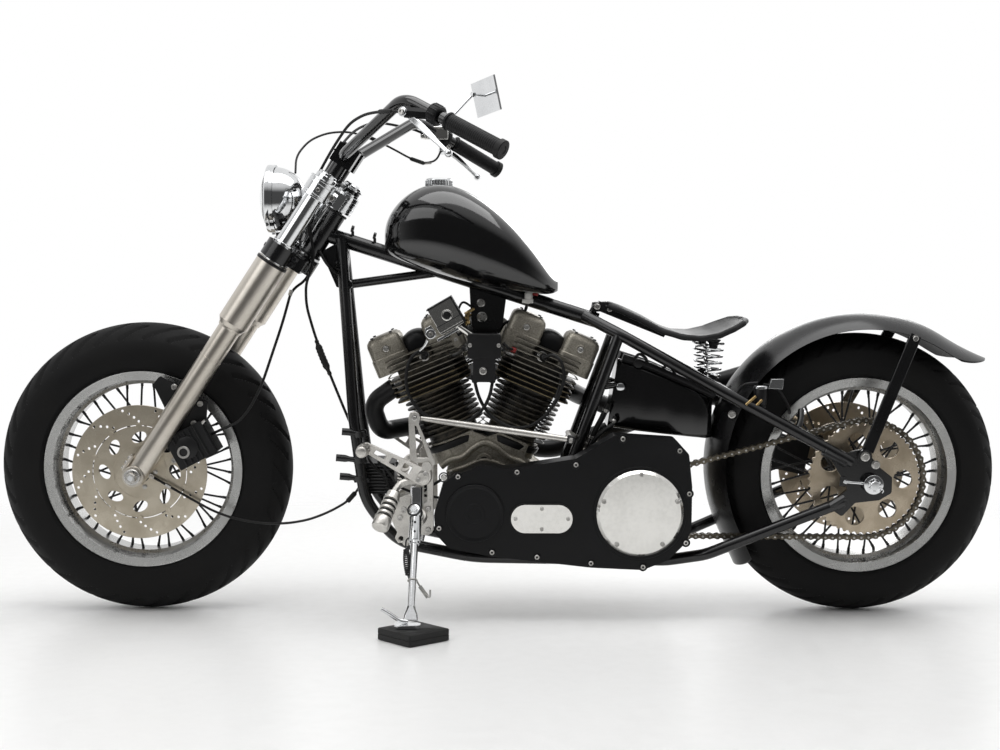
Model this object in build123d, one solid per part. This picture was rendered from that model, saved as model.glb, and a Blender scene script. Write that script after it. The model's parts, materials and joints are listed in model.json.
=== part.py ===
from build123d import *
import math
import os

# A long-forked V-twin motorcycle leaning on its side stand. Millimetres.
# Everything is laid out on the upright machine and leaned over at the very end.
# Upright machine: X runs from the front wheel to the rear wheel, "left" is the
# rider's left (towards -Y), Z is the height above the line the tyres stand on.

# ---------------------------------------------------------------- driving sizes
LEAN = 4.0              # degrees the parked machine leans to its left
WHEELBASE = 1578.6
RAKE = 33.1             # degrees of the steering axis from the vertical
FORK_OFFSET = 45.0      # steering axis to the line of the fork legs
FORK_HALF_SPREAD = 125.0
RUNNING_GAP = 5.5       # between a turning piece and a fixed one
PIN_GAP = 0.3           # between a pin and its bore, and at a seat

FRONT_TYRE_R, FRONT_TYRE_W = 320.8, 140.0
REAR_TYRE_R, REAR_TYRE_W = 312.8, 146.0
FLANGE_R = 217.0        # outer edge of a 16 inch rim
RIM_HALF = 58.0
RIM_BED_R = FLANGE_R - 14.0      # where the bead of the tyre sits
RIM_WELL_R = FLANGE_R - 30.0     # inner face of the rim
RIM_WALL = 5.0
SPOKE_R = 2.3
SPOKE_COUNT = 40
AXLE_R = 10.0
HUB_WALL = 14.0

DISC_R = 146.0
DISC_T = 5.0
DISC_WINDOWS = 8
FRONT_DISC_LEFT = 88.0
REAR_DISC_LEFT = -92.0

CHAIN_LEFT = 101.0      # the plane of the chain
CHAIN_PITCH_R = 129.0   # rear sprocket
DRIVE_PITCH_R = 62.0    # gearbox sprocket
CHAIN_BAND = 12.0       # height of a link at its pins
CHAIN_WAIST = 7.0       # and between them
CHAIN_PIN_PITCH = 15.875
CHAIN_HALF_W = 5.0
SPROCKET_T = 7.0
SPROCKET_HOLES = 7

TUBE_R = 12.7           # frame tubes
BACKBONE_R = 17.0
STRUT_R = 10.0
NECK_R = 23.0

BAR_R = 12.7
GRIP_R = 16.5
GRIP_LENGTH = 135.0
LEG_R = 24.5            # lower fork leg
COVER_R = 34.0          # fat sleeve over the fork
STANCHION_R = 20.5
STEM_R = 12.5

CYLINDER_LEAN = 22.5    # degrees of each cylinder from the vertical
FIN_R = 76.0
FIN_T = 3.2
FIN_PITCH = 11.5
BORE_WALL_R = 56.0

STAND_LEG_R = 8.0
PAD_T = 24.0
CABLE_R = 3.0

# ------------------------------------------------------------- reference points
FRONT_AXLE_X = -(WHEELBASE + REAR_TYRE_R - FRONT_TYRE_R) / 2
REAR_AXLE_X = FRONT_AXLE_X + WHEELBASE
CRANK_X, CRANK_Z = -39.0, 242.0
SHAFT_X, SHAFT_Z = 297.0, 248.0         # gearbox and clutch shaft

# heights along the fork, measured from the front axle
LEG_BOTTOM_S = -8.0
SHOULDER_S = 381.0
COVER_TOP_S = 548.0
LOWER_YOKE_S = (552.0, 588.0)
NECK_S = (592.0, 706.0)
UPPER_YOKE_S = (710.0, 750.0)
CAP_TOP_S = 768.0
BAR_S = 817.0


def at(x, left, z):
    return Vector(x, -left, z)


def leaning(x, z, degrees, left=0.0):
    """Where a piece stands whose own Z leans back by that angle."""
    a = math.radians(degrees)
    return Plane(
        origin=at(x, left, z),
        x_dir=(math.cos(a), 0, -math.sin(a)),
        z_dir=(math.sin(a), 0, math.cos(a)),
    ).location


FORK = leaning(FRONT_AXLE_X, FRONT_TYRE_R, RAKE)


def on_fork(back, left, s):
    """A point of the fork: behind its line, to the left, up from the axle."""
    return (FORK * Pos(back, -left, s)).position


def rod(a, b, r):
    a, b = Vector(a), Vector(b)
    return extrude(Plane(origin=a, z_dir=b - a) * Circle(r), amount=(b - a).length)


def bar(points, r, bends):
    """A round tube along straight runs joined by tangent arcs."""
    path = FilletPolyline(*points, radius=bends)
    return sweep(Plane(origin=path @ 0, z_dir=path % 0) * Circle(r), path=path)


def corner_radii(points):
    """The largest arcs that the straight runs of a cable leave room for."""
    radii = []
    for a, b, c in zip(points, points[1:], points[2:]):
        turn = math.radians((b - a).get_angle(c - b))
        radii.append(0.45 * min((b - a).length, (c - b).length) / math.tan(turn / 2))
    return radii


def cable(points, r=CABLE_R):
    return bar(points, r, corner_radii(points))


def cross_rod(x, z, left_a, left_b, r):
    return rod(at(x, left_a, z), at(x, left_b, z), r)


def plate(outline, left_a, left_b, fillets=0.0):
    """A flat piece: its outline in (x, z), between two distances to the left."""
    face = make_face(Plane.XZ * Polyline(*[(x, z) for x, z in outline], close=True))
    if fillets:
        face = fillet(face.vertices(), fillets)
    solid = extrude(face, amount=left_b - left_a, dir=(0, -1, 0))
    return Pos(0, -left_a, 0) * solid


def turned(profile, x, z, left=0.0):
    """A body of revolution about a wheel axle; its profile is (radius, left)."""
    face = make_face(Polyline(*[(r, -l) for r, l in profile], close=True))
    return Pos(x, -left, z) * revolve(face, Axis.Y)


def block(size, centre):
    """A box: its length, width and height, centred at (x, left, z)."""
    return Pos(*at(*centre)) * Box(*size)


# ----------------------------------------------------------------------- wheels
def tyre(axle_x, radius, width):
    """Rounded crown, full side walls, beads held between the rim's flanges."""
    half, bead = width / 2, RIM_HALF - 1.5 * RIM_WALL
    shoulder_r = FLANGE_R + 0.62 * (radius - FLANGE_R)
    belly_r = FLANGE_R + 0.30 * (radius - FLANGE_R)
    crown = ThreePointArc((shoulder_r, half * 0.93), (radius, 0), (shoulder_r, -half * 0.93))
    right = Polyline(
        (shoulder_r, -half * 0.93), (belly_r, -half), (FLANGE_R + 2, -half * 0.86),
        (FLANGE_R + 1, -bead), (RIM_BED_R + PIN_GAP, -bead),
    )
    bed = Line((RIM_BED_R + PIN_GAP, -bead), (RIM_BED_R + PIN_GAP, bead))
    left = Polyline(
        (RIM_BED_R + PIN_GAP, bead), (FLANGE_R + 1, bead), (FLANGE_R + 2, half * 0.86),
        (belly_r, half), (shoulder_r, half * 0.93),
    )
    section = make_face([crown, right, bed, left])
    return Pos(axle_x, 0, radius) * revolve(section, Axis.Y)


def rim_profile():
    half, lip = RIM_HALF, RIM_HALF - RIM_WALL
    return [
        (RIM_BED_R, lip - 8), (RIM_BED_R, lip), (FLANGE_R, lip), (FLANGE_R, half),
        (RIM_BED_R - RIM_WALL, half - 2), (RIM_BED_R - RIM_WALL, 30), (RIM_WELL_R, 22),
        (RIM_WELL_R, -22), (RIM_BED_R - RIM_WALL, -30), (RIM_BED_R - RIM_WALL, 2 - half),
        (FLANGE_R, -half), (FLANGE_R, -lip), (RIM_BED_R, -lip), (RIM_BED_R, 8 - lip),
        (RIM_BED_R, 8 - lip + 4), (RIM_WELL_R + RIM_WALL, -24), (RIM_WELL_R + RIM_WALL, 24),
        (RIM_BED_R, lip - 12),
    ]


def spoke_wheel(axle_x, axle_z, hub_left, hub_right, spin):
    """Rim, hub and crossed wire spokes in one piece; hub ends to left and right."""
    bore = AXLE_R + PIN_GAP
    core = AXLE_R + HUB_WALL
    flange = core + 20
    left_flange, right_flange = 42.0, -42.0
    hub = turned(
        [
            (bore, hub_right), (core, hub_right), (core, right_flange - 5),
            (flange, right_flange - 5), (flange, right_flange + 5), (core + 6, right_flange + 12),
            (core + 6, left_flange - 12), (flange, left_flange - 5), (flange, left_flange + 5),
            (core, left_flange + 5), (core, hub_left), (bore, hub_left),
        ],
        0, 0,
    )
    wheel = hub + turned(rim_profile(), 0, 0)
    foot_r, head_r = flange - 6, RIM_WELL_R + 2
    spokes = []
    for i in range(SPOKE_COUNT):
        side = 1 if i % 2 else -1
        sweep_back = 52 if (i // 2) % 2 else -52
        head = math.radians(spin + i * 360 / SPOKE_COUNT)
        foot = head + math.radians(sweep_back)
        spokes.append(rod(
            at(foot_r * math.cos(foot), side * left_flange, foot_r * math.sin(foot)),
            at(head_r * math.cos(head), side * 9, head_r * math.sin(head)),
            SPOKE_R,
        ))
    return Pos(axle_x, 0, axle_z) * wheel.fuse(*spokes)


def brake_disc(axle_x, axle_z, left):
    """A flat ring on a carrier with round windows, bolted against the hub."""
    bore = AXLE_R + HUB_WALL + PIN_GAP
    disc = Cylinder(DISC_R, DISC_T) - Cylinder(bore, DISC_T)
    windows = PolarLocations(76, DISC_WINDOWS) * extrude(Ellipse(11.5, 19), amount=DISC_T, both=True)
    return Pos(*at(axle_x, left, axle_z)) * Rot(X=90) * (disc - windows)


front_tyre = tyre(FRONT_AXLE_X, FRONT_TYRE_R, FRONT_TYRE_W)
rear_tyre = tyre(REAR_AXLE_X, REAR_TYRE_R, REAR_TYRE_W)
front_wheel = spoke_wheel(
    FRONT_AXLE_X, FRONT_TYRE_R, FRONT_DISC_LEFT + DISC_T / 2 + 2, -80.0, 4.5)
rear_wheel = spoke_wheel(
    REAR_AXLE_X, REAR_TYRE_R, CHAIN_LEFT + SPROCKET_T / 2 + 2, REAR_DISC_LEFT - DISC_T / 2 - 2, 0)
front_disc = brake_disc(FRONT_AXLE_X, FRONT_TYRE_R, FRONT_DISC_LEFT)
rear_disc = brake_disc(REAR_AXLE_X, REAR_TYRE_R, REAR_DISC_LEFT)

SPROCKET_R = CHAIN_PITCH_R - CHAIN_BAND / 2 - RUNNING_GAP
sprocket = Cylinder(SPROCKET_R, SPROCKET_T) - Cylinder(AXLE_R + HUB_WALL + PIN_GAP, SPROCKET_T)
sprocket -= PolarLocations(84, SPROCKET_HOLES) * Cylinder(21, SPROCKET_T)
rear_sprocket = Pos(*at(REAR_AXLE_X, CHAIN_LEFT, REAR_TYRE_R)) * Rot(X=90) * sprocket

# ------------------------------------------------------------------ front end
BAR_CLAMP_LEFT = 48.0


def fork_legs():
    """Lower legs with their axle clamps, one each side."""
    clamp_r = AXLE_R + 13
    leg_inner = FORK_HALF_SPREAD - LEG_R
    legs = []
    for side in (1, -1):
        y = -side * FORK_HALF_SPREAD
        leg = Pos(0, y, (SHOULDER_S + LEG_BOTTOM_S) / 2) * Cylinder(LEG_R, SHOULDER_S - LEG_BOTTOM_S)
        lug = Pos(0, y, 0) * Rot(X=90) * Cylinder(clamp_r, 2 * LEG_R)
        bore = Pos(0, y, 0) * Rot(X=90) * Cylinder(AXLE_R + PIN_GAP, 3 * LEG_R)
        legs.append(FORK * (leg + lug - bore))
    return Compound(legs), leg_inner


def fork_sleeves():
    """The fat covers above the legs, stepped down to the leg at the bottom."""
    sleeves = []
    step = 10
    for side in (1, -1):
        y = -side * FORK_HALF_SPREAD
        length = COVER_TOP_S - SHOULDER_S - PIN_GAP - step
        cover = Pos(0, y, COVER_TOP_S - length / 2) * Cylinder(COVER_R, length)
        cone = Pos(0, y, SHOULDER_S + PIN_GAP + step / 2) * Cone(LEG_R + 3, COVER_R, step)
        sleeves.append(FORK * (cover + cone))
    return Compound(sleeves)


def stanchions():
    """Bright upper tubes with their top caps."""
    tubes = []
    base = COVER_TOP_S + PIN_GAP
    for side in (1, -1):
        y = -side * FORK_HALF_SPREAD
        tube = Pos(0, y, (base + CAP_TOP_S - 6) / 2) * Cylinder(STANCHION_R, CAP_TOP_S - 6 - base)
        cap = Pos(0, y, CAP_TOP_S - 3) * Cylinder(STANCHION_R - 3, 6)
        tubes.append(FORK * (tube + cap))
    return Compound(tubes)


def yoke(s_range, clamp_r, arm):
    """A clamp round each fork tube, joined across the steering stem."""
    low, high = s_range
    mid, height = (low + high) / 2, high - low
    bridge = Pos(FORK_OFFSET / 2, 0, mid) * Box(FORK_OFFSET + arm, 2 * FORK_HALF_SPREAD, height - 6)
    boss = Pos(FORK_OFFSET, 0, mid) * Cylinder(STEM_R + 16, height)
    body = bridge + boss
    for side in (1, -1):
        body += Pos(0, side * FORK_HALF_SPREAD, mid) * Cylinder(clamp_r, height)
    for side in (1, -1):
        body -= Pos(0, side * FORK_HALF_SPREAD, mid) * Cylinder(STANCHION_R + PIN_GAP, height)
    return FORK * body


def risers():
    """Two short pillars with the clamp that holds the handlebar."""
    base = UPPER_YOKE_S[1] + PIN_GAP
    clamp = BAR_R + 12
    pillars = []
    for side in (1, -1):
        y = side * BAR_CLAMP_LEFT
        pillar = Pos(0, y, (base + BAR_S) / 2) * Cylinder(17, BAR_S - base)
        head = Pos(0, y, BAR_S) * Box(2 * clamp, 36, 2 * clamp - 4)
        hole = Pos(0, y, BAR_S) * Rot(X=90) * Cylinder(BAR_R + PIN_GAP, 60)
        pillars.append(FORK * (pillar + head - hole))
    return Compound(pillars)


# the handlebar in the fork's own frame: (behind, left, up)
BAR_SIDE = [(0, 92, BAR_S), (60, 275, BAR_S + 163), (281, 387, BAR_S + 178)]
BAR_BENDS = (55, 62)


def bar_points():
    left = [on_fork(b, l, s) for b, l, s in BAR_SIDE]
    right = [on_fork(b, -l, s) for b, l, s in BAR_SIDE]
    return left[::-1] + right


BAR_END_LEFT, BAR_TOP_LEFT = bar_points()[0], bar_points()[1]
GRIP_DIR = (BAR_END_LEFT - BAR_TOP_LEFT).normalized()


def mirrored(point):
    return Vector(point.X, -point.Y, point.Z)


def grips():
    pair = []
    for end, way in ((BAR_END_LEFT, GRIP_DIR), (mirrored(BAR_END_LEFT), mirrored(GRIP_DIR))):
        start = end - way * GRIP_LENGTH
        sleeve = rod(start, end + way * 4, GRIP_R) + rod(end - way * 6, end + way * 4, GRIP_R + 3.5)
        pair.append(sleeve - rod(start - way, end, BAR_R + PIN_GAP))
    return Compound(pair)


HANDLEBAR_BENDS = [BAR_BENDS[1], BAR_BENDS[0], BAR_BENDS[0], BAR_BENDS[1]]
handlebar = bar(bar_points(), BAR_R, HANDLEBAR_BENDS)


def control(mirror_it, lever_points):
    """A perch clamped on the bar with its lever below and ahead of the grip."""
    place = BAR_END_LEFT - GRIP_DIR * (GRIP_LENGTH + 30)
    ring = rod(place - GRIP_DIR * 12, place + GRIP_DIR * 12, BAR_R + 7)
    drop = Vector(lever_points[0])
    arm = rod(place, drop, 9)
    piece = ring + arm
    for a, b in zip(lever_points, lever_points[1:]):
        piece += rod(a, b, 5.5) + Pos(*b) * Sphere(5.5)
    if mirror_it:
        piece += Pos(*on_fork(117.6, 300, 982.9)) * Box(52, 26, 30)
    piece -= bar(bar_points(), BAR_R + PIN_GAP, HANDLEBAR_BENDS)
    return mirror(piece, Plane.XZ) if mirror_it else piece


clutch_lever = control(False, [on_fork(80.2, 300, 956.1), on_fork(133.3, 320, 947.8), on_fork(194.2, 350, 935)])
brake_lever = control(True, [on_fork(150.1, 318, 962.4), on_fork(188.4, 335, 962.2), on_fork(247.6, 352, 951.9)])

MIRROR_ROOT = on_fork(118.2, -300, 1004.0)
MIRROR_HINGE = on_fork(135.5, -318, 1109.2)
mirror_plate = Pos(*on_fork(163.4, -340, 1125)) * Rot(Y=-12) * Rot(Z=28) * Box(5, 118, 84)
mirror_piece = rod(MIRROR_ROOT, MIRROR_HINGE, 3) + rod(MIRROR_HINGE, on_fork(162.4, -340, 1126.7), 3) + mirror_plate

HEADLIGHT_R = 74.0
LAMP_PLACE = on_fork(-95, 0, 646.2)
LAMP_X, LAMP_Z = LAMP_PLACE.X, LAMP_PLACE.Z


def headlight():
    """A deep chrome bowl with a rolled rim and a domed glass."""
    rim_t, bowl_r = 14.0, HEADLIGHT_R - 4
    bowl = Cylinder(HEADLIGHT_R, rim_t) + Pos(0, 0, rim_t / 2) * Sphere(bowl_r)
    bowl -= Pos(0, 0, -rim_t / 2 - bowl_r / 2) * Cylinder(2 * bowl_r, bowl_r)
    return Pos(LAMP_X + rim_t / 2, 0, LAMP_Z) * Rot(Y=90) * bowl


def headlight_glass():
    glass_r, dome = HEADLIGHT_R - 5, 18.0
    ball_r = (glass_r ** 2 + dome ** 2) / (2 * dome)
    ball = Pos(ball_r - dome, 0, 0) * Sphere(ball_r)
    glass = ball & Pos(-dome / 2, 0, 0) * Rot(Y=90) * Cylinder(2 * glass_r, dome)
    return Pos(LAMP_X - PIN_GAP, 0, LAMP_Z) * glass


legs, LEG_INNER = fork_legs()
sleeves = fork_sleeves()
upper_tubes = stanchions()
lower_yoke = yoke(LOWER_YOKE_S, STANCHION_R + 13, 30)
lamp_arm = rod(at(LAMP_X + 24, 0, LAMP_Z - HEADLIGHT_R + 2), on_fork(-6, 0, 570), 11)
lower_yoke += lamp_arm - headlight()
upper_yoke = yoke(UPPER_YOKE_S, STANCHION_R + 10, 26)
upper_yoke -= rod(on_fork(FORK_OFFSET, 0, NECK_S[1]), on_fork(FORK_OFFSET, 0, CAP_TOP_S), STEM_R + PIN_GAP)
stem = FORK * (Pos(FORK_OFFSET, 0, (LOWER_YOKE_S[0] + CAP_TOP_S) / 2)
               * Cylinder(STEM_R, CAP_TOP_S - LOWER_YOKE_S[0]))
stem += FORK * (Pos(FORK_OFFSET, 0, CAP_TOP_S - 8) * Cylinder(STEM_R + 9, 16))
lower_yoke += stem
bar_risers = risers()

front_axle = cross_rod(FRONT_AXLE_X, FRONT_TYRE_R, 174, -160, AXLE_R)
spacer_r = AXLE_R + 8
for a, b in ((FRONT_DISC_LEFT + DISC_T / 2 + 2 + PIN_GAP, LEG_INNER - PIN_GAP),
             (-80.0 - PIN_GAP, PIN_GAP - LEG_INNER)):
    front_axle += cross_rod(FRONT_AXLE_X, FRONT_TYRE_R, a, b, spacer_r)

CALIPER_ANGLE = 28.0    # degrees above the horizontal, behind the axle
REAR_CALIPER_ANGLE = 168.0
CALIPER_REACH = 134.0
CALIPER_SIZE = (88.0, 74.0, 76.0)


def caliper(axle_x, axle_z, left, degrees):
    """A block astride the disc, with a slot that the disc runs through."""
    body = Pos(CALIPER_REACH, 0, 0) * Box(*CALIPER_SIZE)
    body -= Rot(X=90) * Cylinder(DISC_R + RUNNING_GAP, DISC_T + 2 * RUNNING_GAP)
    return Pos(*at(axle_x, left, axle_z)) * Rot(Y=-degrees) * body


front_caliper = caliper(FRONT_AXLE_X, FRONT_TYRE_R, FRONT_DISC_LEFT, CALIPER_ANGLE)
front_caliper -= rod(on_fork(0, FORK_HALF_SPREAD, LEG_BOTTOM_S),
                     on_fork(0, FORK_HALF_SPREAD, SHOULDER_S), LEG_R + PIN_GAP)
bracket_low = FRONT_DISC_LEFT + DISC_T / 2 + RUNNING_GAP
bracket_high = LEG_INNER - PIN_GAP
CALIPER_BRACKET = [     # in the fork's own frame: (behind, up)
    (-76, 181), (-74, 204), (42, 213), (78, 146), (53, 93), (-7, 138),
]
bracket_outline = [on_fork(b, 0, s) for b, s in CALIPER_BRACKET]
front_caliper += plate([(p.X, p.Z) for p in bracket_outline], bracket_low, bracket_high, 6)

# ---------------------------------------------------------------------- frame
neck_low = on_fork(FORK_OFFSET, 0, NECK_S[0])
neck_high = on_fork(FORK_OFFSET, 0, NECK_S[1])
neck_mid = (neck_low + neck_high) / 2

SPRING_X, SPRING_LEFT = 462.0, 76.0
SPRING_LOW, SPRING_HIGH = 531.0, 597.0
SPRING_FOOT_Z = 510.0
MOUNT_PLATE = [(-72, 752), (14, 722), (4, 640), (-20, 606), (-58, 606), (-66, 650)]
MOUNT_PLATE_HALF = 6.0
AXLE_PLATE_LEFT = 148.0
AXLE_PLATE_T = 10.0
stay_end = at(752, AXLE_PLATE_LEFT + AXLE_PLATE_T / 2, 357)
BACKBONE_END = at(214, 0, 650)
SEAT_POST_FOOT = at(82, 80, 134)

# one side of the cradle: neck, down tube, bend, bottom rail, rise to the axle
CRADLE = [
    at(-352, 19, 828), at(-320, 85, 439), at(-296, 90, 262), at(-226, 90, 168),
    at(-60, 88, 134), at(366, 88, 128), at(446, 128, 150), at(736, AXLE_PLATE_LEFT + 5, 272),
]
CRADLE_BENDS = [260, 120, 110, 400, 60, 90]

AXLE_PLATE = [
    (688, 392), (740, 378), (776, 388), (812, 346), (838, 326), (838, 292),
    (812, 276), (760, 270), (732, 240), (700, 262), (744, 300),
]


def frame_side(side):
    def flip(points):
        return points if side > 0 else [mirrored(p) for p in points]

    cradle = bar(flip(CRADLE), TUBE_R, CRADLE_BENDS)
    stay = bar(flip([at(184, 22, 662), at(262, 70, 622), at(500, 122, 492), stay_end]),
               TUBE_R, [140, 400])
    post = rod(*flip([at(256, 66, 620), SEAT_POST_FOOT]), TUBE_R)
    dropout = plate(AXLE_PLATE, AXLE_PLATE_LEFT, AXLE_PLATE_LEFT + AXLE_PLATE_T, 6)
    dropout -= cross_rod(REAR_AXLE_X, REAR_TYRE_R, AXLE_PLATE_LEFT - 5,
                         AXLE_PLATE_LEFT + AXLE_PLATE_T + 5, AXLE_R + PIN_GAP)
    if side < 0:
        dropout = mirror(dropout, Plane.XZ)
    return cradle, stay, post, dropout


def frame():
    neck = rod(neck_low, neck_high, NECK_R)
    backbone = rod(neck_mid, BACKBONE_END, BACKBONE_R)
    brace = rod(at(-334, 0, 728), at(-120, 0, 758), STRUT_R)
    parts, rails = [backbone, brace], []
    for side in (1, -1):
        rail, *others = frame_side(side)
        rails.append(rail)
        parts += others
    gusset = plate([(-396, 796), (-352, 828), (-336, 800), (-344, 716), (-364, 722)], 8, -8)
    rungs = [
        cross_rod(-336, 728, 40, -40, STRUT_R),
        cross_rod(-180, 154, 84, -84, STRUT_R),
        cross_rod(60, 135, 83, -83, STRUT_R),
        cross_rod(362, 133, 84, -84, STRUT_R),
    ]
    cross = [
        cross_rod(254, 627, 66, -66, STRUT_R),
        cross_rod(SPRING_X, SPRING_FOOT_Z, 112, -112, STRUT_R),
    ]
    for side in (1, -1):
        foot = at(SPRING_X, side * SPRING_LEFT, SPRING_FOOT_Z)
        cross.append(rod(foot, foot + Vector(0, 0, SPRING_LOW - SPRING_FOOT_Z - PIN_GAP), 13))
    cross.append(plate(MOUNT_PLATE, MOUNT_PLATE_HALF, -MOUNT_PLATE_HALF))
    body = neck.fuse(*parts, gusset, *cross)
    cradle = rails[0].fuse(rails[1], *rungs) - body
    bearing = rod(neck_low - (neck_high - neck_low), neck_high + (neck_high - neck_low), STEM_R + PIN_GAP)
    return body - bearing, cradle


main_frame, cradle = frame()

# ----------------------------------------------------------------------- engine
CYLINDER_S = (166.0, 279.0)     # along a cylinder, from the crank
HEAD_S = (279.4, 346.0)
ROCKER_S = (346.4, 436.0)


def cylinder(lean):
    """A barrel with round cooling fins."""
    low, high = CYLINDER_S
    barrel = Pos(0, 0, (low + high) / 2) * Cylinder(BORE_WALL_R, high - low)
    count = int((high - low) // FIN_PITCH)
    fins = [Pos(0, 0, high - FIN_T / 2 - i * FIN_PITCH) * Cylinder(FIN_R, FIN_T) for i in range(count)]
    return leaning(CRANK_X, CRANK_Z, lean) * barrel.fuse(*fins)


def head(lean):
    """A squarer finned head; its fins reach out at the port side."""
    low, high = HEAD_S
    core = Pos(0, 0, (low + high) / 2) * Box(120, 112, high - low)
    count = int((high - low) // FIN_PITCH)
    fin = extrude(RectangleRounded(172, 150, 34), amount=FIN_T)
    fins = [Pos(0, 0, low + i * FIN_PITCH) * fin for i in range(count)]
    return leaning(CRANK_X, CRANK_Z, lean) * core.fuse(*fins)


def rocker_box(lean):
    """A low cover with a tall rounded housing over each valve."""
    low, high = ROCKER_S
    base = Pos(0, 0, low + 14) * Box(176, 116, 28)
    body = base
    for x in (-64, 64):
        cap = extrude(RectangleRounded(84, 112, 18), amount=high - low)
        cap = chamfer(cap.faces().sort_by(Axis.Z)[-1].edges(), 11)
        body += Pos(x, 0, low) * cap
    return leaning(CRANK_X, CRANK_Z, lean) * body


CASE_LEFT = (-84.0, 62.0)
CRANKCASE = [
    (-128, 220), (-118, 322), (-104, 352), (-124, 386), (-72, 412), (-30, 396),
    (14, 412), (66, 392), (52, 352), (92, 322), (62, 190), (40, 152), (-70, 152),
]
CAM_COVER = [(-116, 200), (-112, 330), (0, 372), (80, 330), (62, 210), (30, 168)]
PRIMARY_LEFT = (113.0, 166.0)
case_seat = PRIMARY_LEFT[0] - PIN_GAP
crankcase = plate(CRANKCASE, *CASE_LEFT) + plate(CAM_COVER, CASE_LEFT[0] - 20, CASE_LEFT[0])
crankcase += cross_rod(-56, 246, CASE_LEFT[1], case_seat, 66)
for lean in (-CYLINDER_LEAN, CYLINDER_LEAN):
    spot = leaning(CRANK_X, CRANK_Z, lean)
    seat_s = CYLINDER_S[0] - PIN_GAP
    crankcase += spot * (Pos(0, 0, (120 + seat_s) / 2) * Cylinder(64, seat_s - 120))
    crankcase -= spot * (Pos(0, 0, seat_s + 30) * Cylinder(FIN_R + 8, 60))

GEARBOX = [(142, 172), (172, 330), (212, 368), (372, 358), (392, 300), (380, 168)]
DRIVE_R = DRIVE_PITCH_R - CHAIN_BAND / 2 - PIN_GAP
gearbox = plate(GEARBOX, *CASE_LEFT)
gearbox += cross_rod(SHAFT_X, SHAFT_Z, CASE_LEFT[1], case_seat, 18)
gearbox += cross_rod(SHAFT_X, SHAFT_Z, CHAIN_LEFT - 4, CHAIN_LEFT + 4, DRIVE_R)

PRIMARY = [
    (-143, 242), (-122, 316), (-42, 352), (5, 343), (38, 346), (159, 365),
    (241, 415), (371, 407), (400, 375), (408, 306), (408, 212), (397, 184),
    (360, 146), (305, 124), (194, 129), (-21, 153), (-111, 170), (-140, 202),
]
primary_cover = plate(PRIMARY, *PRIMARY_LEFT, 12)
primary_cover += cross_rod(-56, 247, PRIMARY_LEFT[1], PRIMARY_LEFT[1] + 5, 62)

COVER_FACE = PRIMARY_LEFT[1] + PIN_GAP
derby_cover = cross_rod(SHAFT_X, SHAFT_Z, COVER_FACE, COVER_FACE + 9, 93)
derby_cover = chamfer(derby_cover.edges().filter_by(GeomType.CIRCLE).sort_by(Axis.Y)[0], 6)
inspection_cover = Pos(*at(87, COVER_FACE, 236)) * Rot(X=90) * extrude(SlotOverall(131, 61), amount=7)

# inlet pipes from both heads, carburettor and round air cleaner on the right
HEAD_HALF_X = 86.0
INTAKE_Z = 581.0
air_cleaner = cross_rod(CRANK_X, INTAKE_Z, 14, -90, 17)
air_cleaner += cross_rod(CRANK_X, INTAKE_Z, -78, -122, 26) + cross_rod(CRANK_X, INTAKE_Z, -122, -172, 82)
air_cleaner -= cross_rod(CRANK_X, INTAKE_Z, -125, -169, 79)
for lean in (-CYLINDER_LEAN, CYLINDER_LEAN):
    inward = 1 if lean < 0 else -1
    port = (leaning(CRANK_X, CRANK_Z, lean)
            * Pos(inward * (HEAD_HALF_X + PIN_GAP), 0, (HEAD_S[0] + HEAD_S[1]) / 2)).position
    air_cleaner += rod(port, at(CRANK_X, 0, INTAKE_Z), 15)

COIL_SIZE, COIL_LEFT, COIL_Z = (72.0, 40.0, 104.0), 92.0, 574.0
COIL_X = CRANK_X + 2
coil = block(COIL_SIZE, (COIL_X, COIL_LEFT, COIL_Z))
coil_arm = (MOUNT_PLATE_HALF + PIN_GAP, COIL_LEFT)
coil += block((34, coil_arm[1] - coil_arm[0], 10), (COIL_X, sum(coil_arm) / 2, COIL_Z + 42))
key_box = Pos(*at(-119, 97, 664)) * Rot(Y=-30) * Box(60, 62, 66)
key_box += rod(at(-110, COIL_LEFT, 650), at(COIL_X - 20, COIL_LEFT, COIL_Z + 45), 8) - coil
key_box -= block(COIL_SIZE, (COIL_X, COIL_LEFT, COIL_Z + PIN_GAP))
regulator = block((64, 110, 68), (-266, 0, 302)) + block((6, 150.4, 14), (-300, 0, 327))

# ---------------------------------------------------------------------- exhaust
PIPE_R = 21.0
PIPE_WALL = 2.0
PIPE_LEFT = -178.0
FRONT_PIPE = [
    at(-236, 8, 500), at(-288, 4, 462), at(-268, -10, 398), at(-190, -90, 402), at(-110, -158, 380),
    at(120, PIPE_LEFT, 330), at(520, PIPE_LEFT - 8, 470), at(782, PIPE_LEFT - 14, 384),
]
REAR_PIPE = [
    at(150, -60, 492), at(182, -122, 470), at(262, PIPE_LEFT + 6, 436), at(430, PIPE_LEFT, 470),
    at(600, PIPE_LEFT - 8, 520),
]

heads = Compound([head(-CYLINDER_LEAN), head(CYLINDER_LEAN)])
def pipe(points, bends):
    """A thin-walled tube, open at both ends."""
    return bar(points, PIPE_R, bends) - bar(points, PIPE_R - PIPE_WALL, bends)


exhaust_pipes = Compound([
    pipe(FRONT_PIPE, [38, 36, 60, 70, 120, 160]) - heads,
    pipe(REAR_PIPE, [36, 50, 90]) - heads,
])

# ------------------------------------------------------------------------- tank
TANK = [    # x, underside, top, half width
    (-256, 804, 848, 26), (-236, 788, 894, 66), (-190, 770, 934, 96), (-120, 748, 946, 116),
    (-40, 728, 910, 120), (40, 716, 840, 104), (98, 710, 764, 70), (124, 716, 738, 34),
]
TANK_CORNER = 0.42      # share of the smaller half size that is rounded


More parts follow.
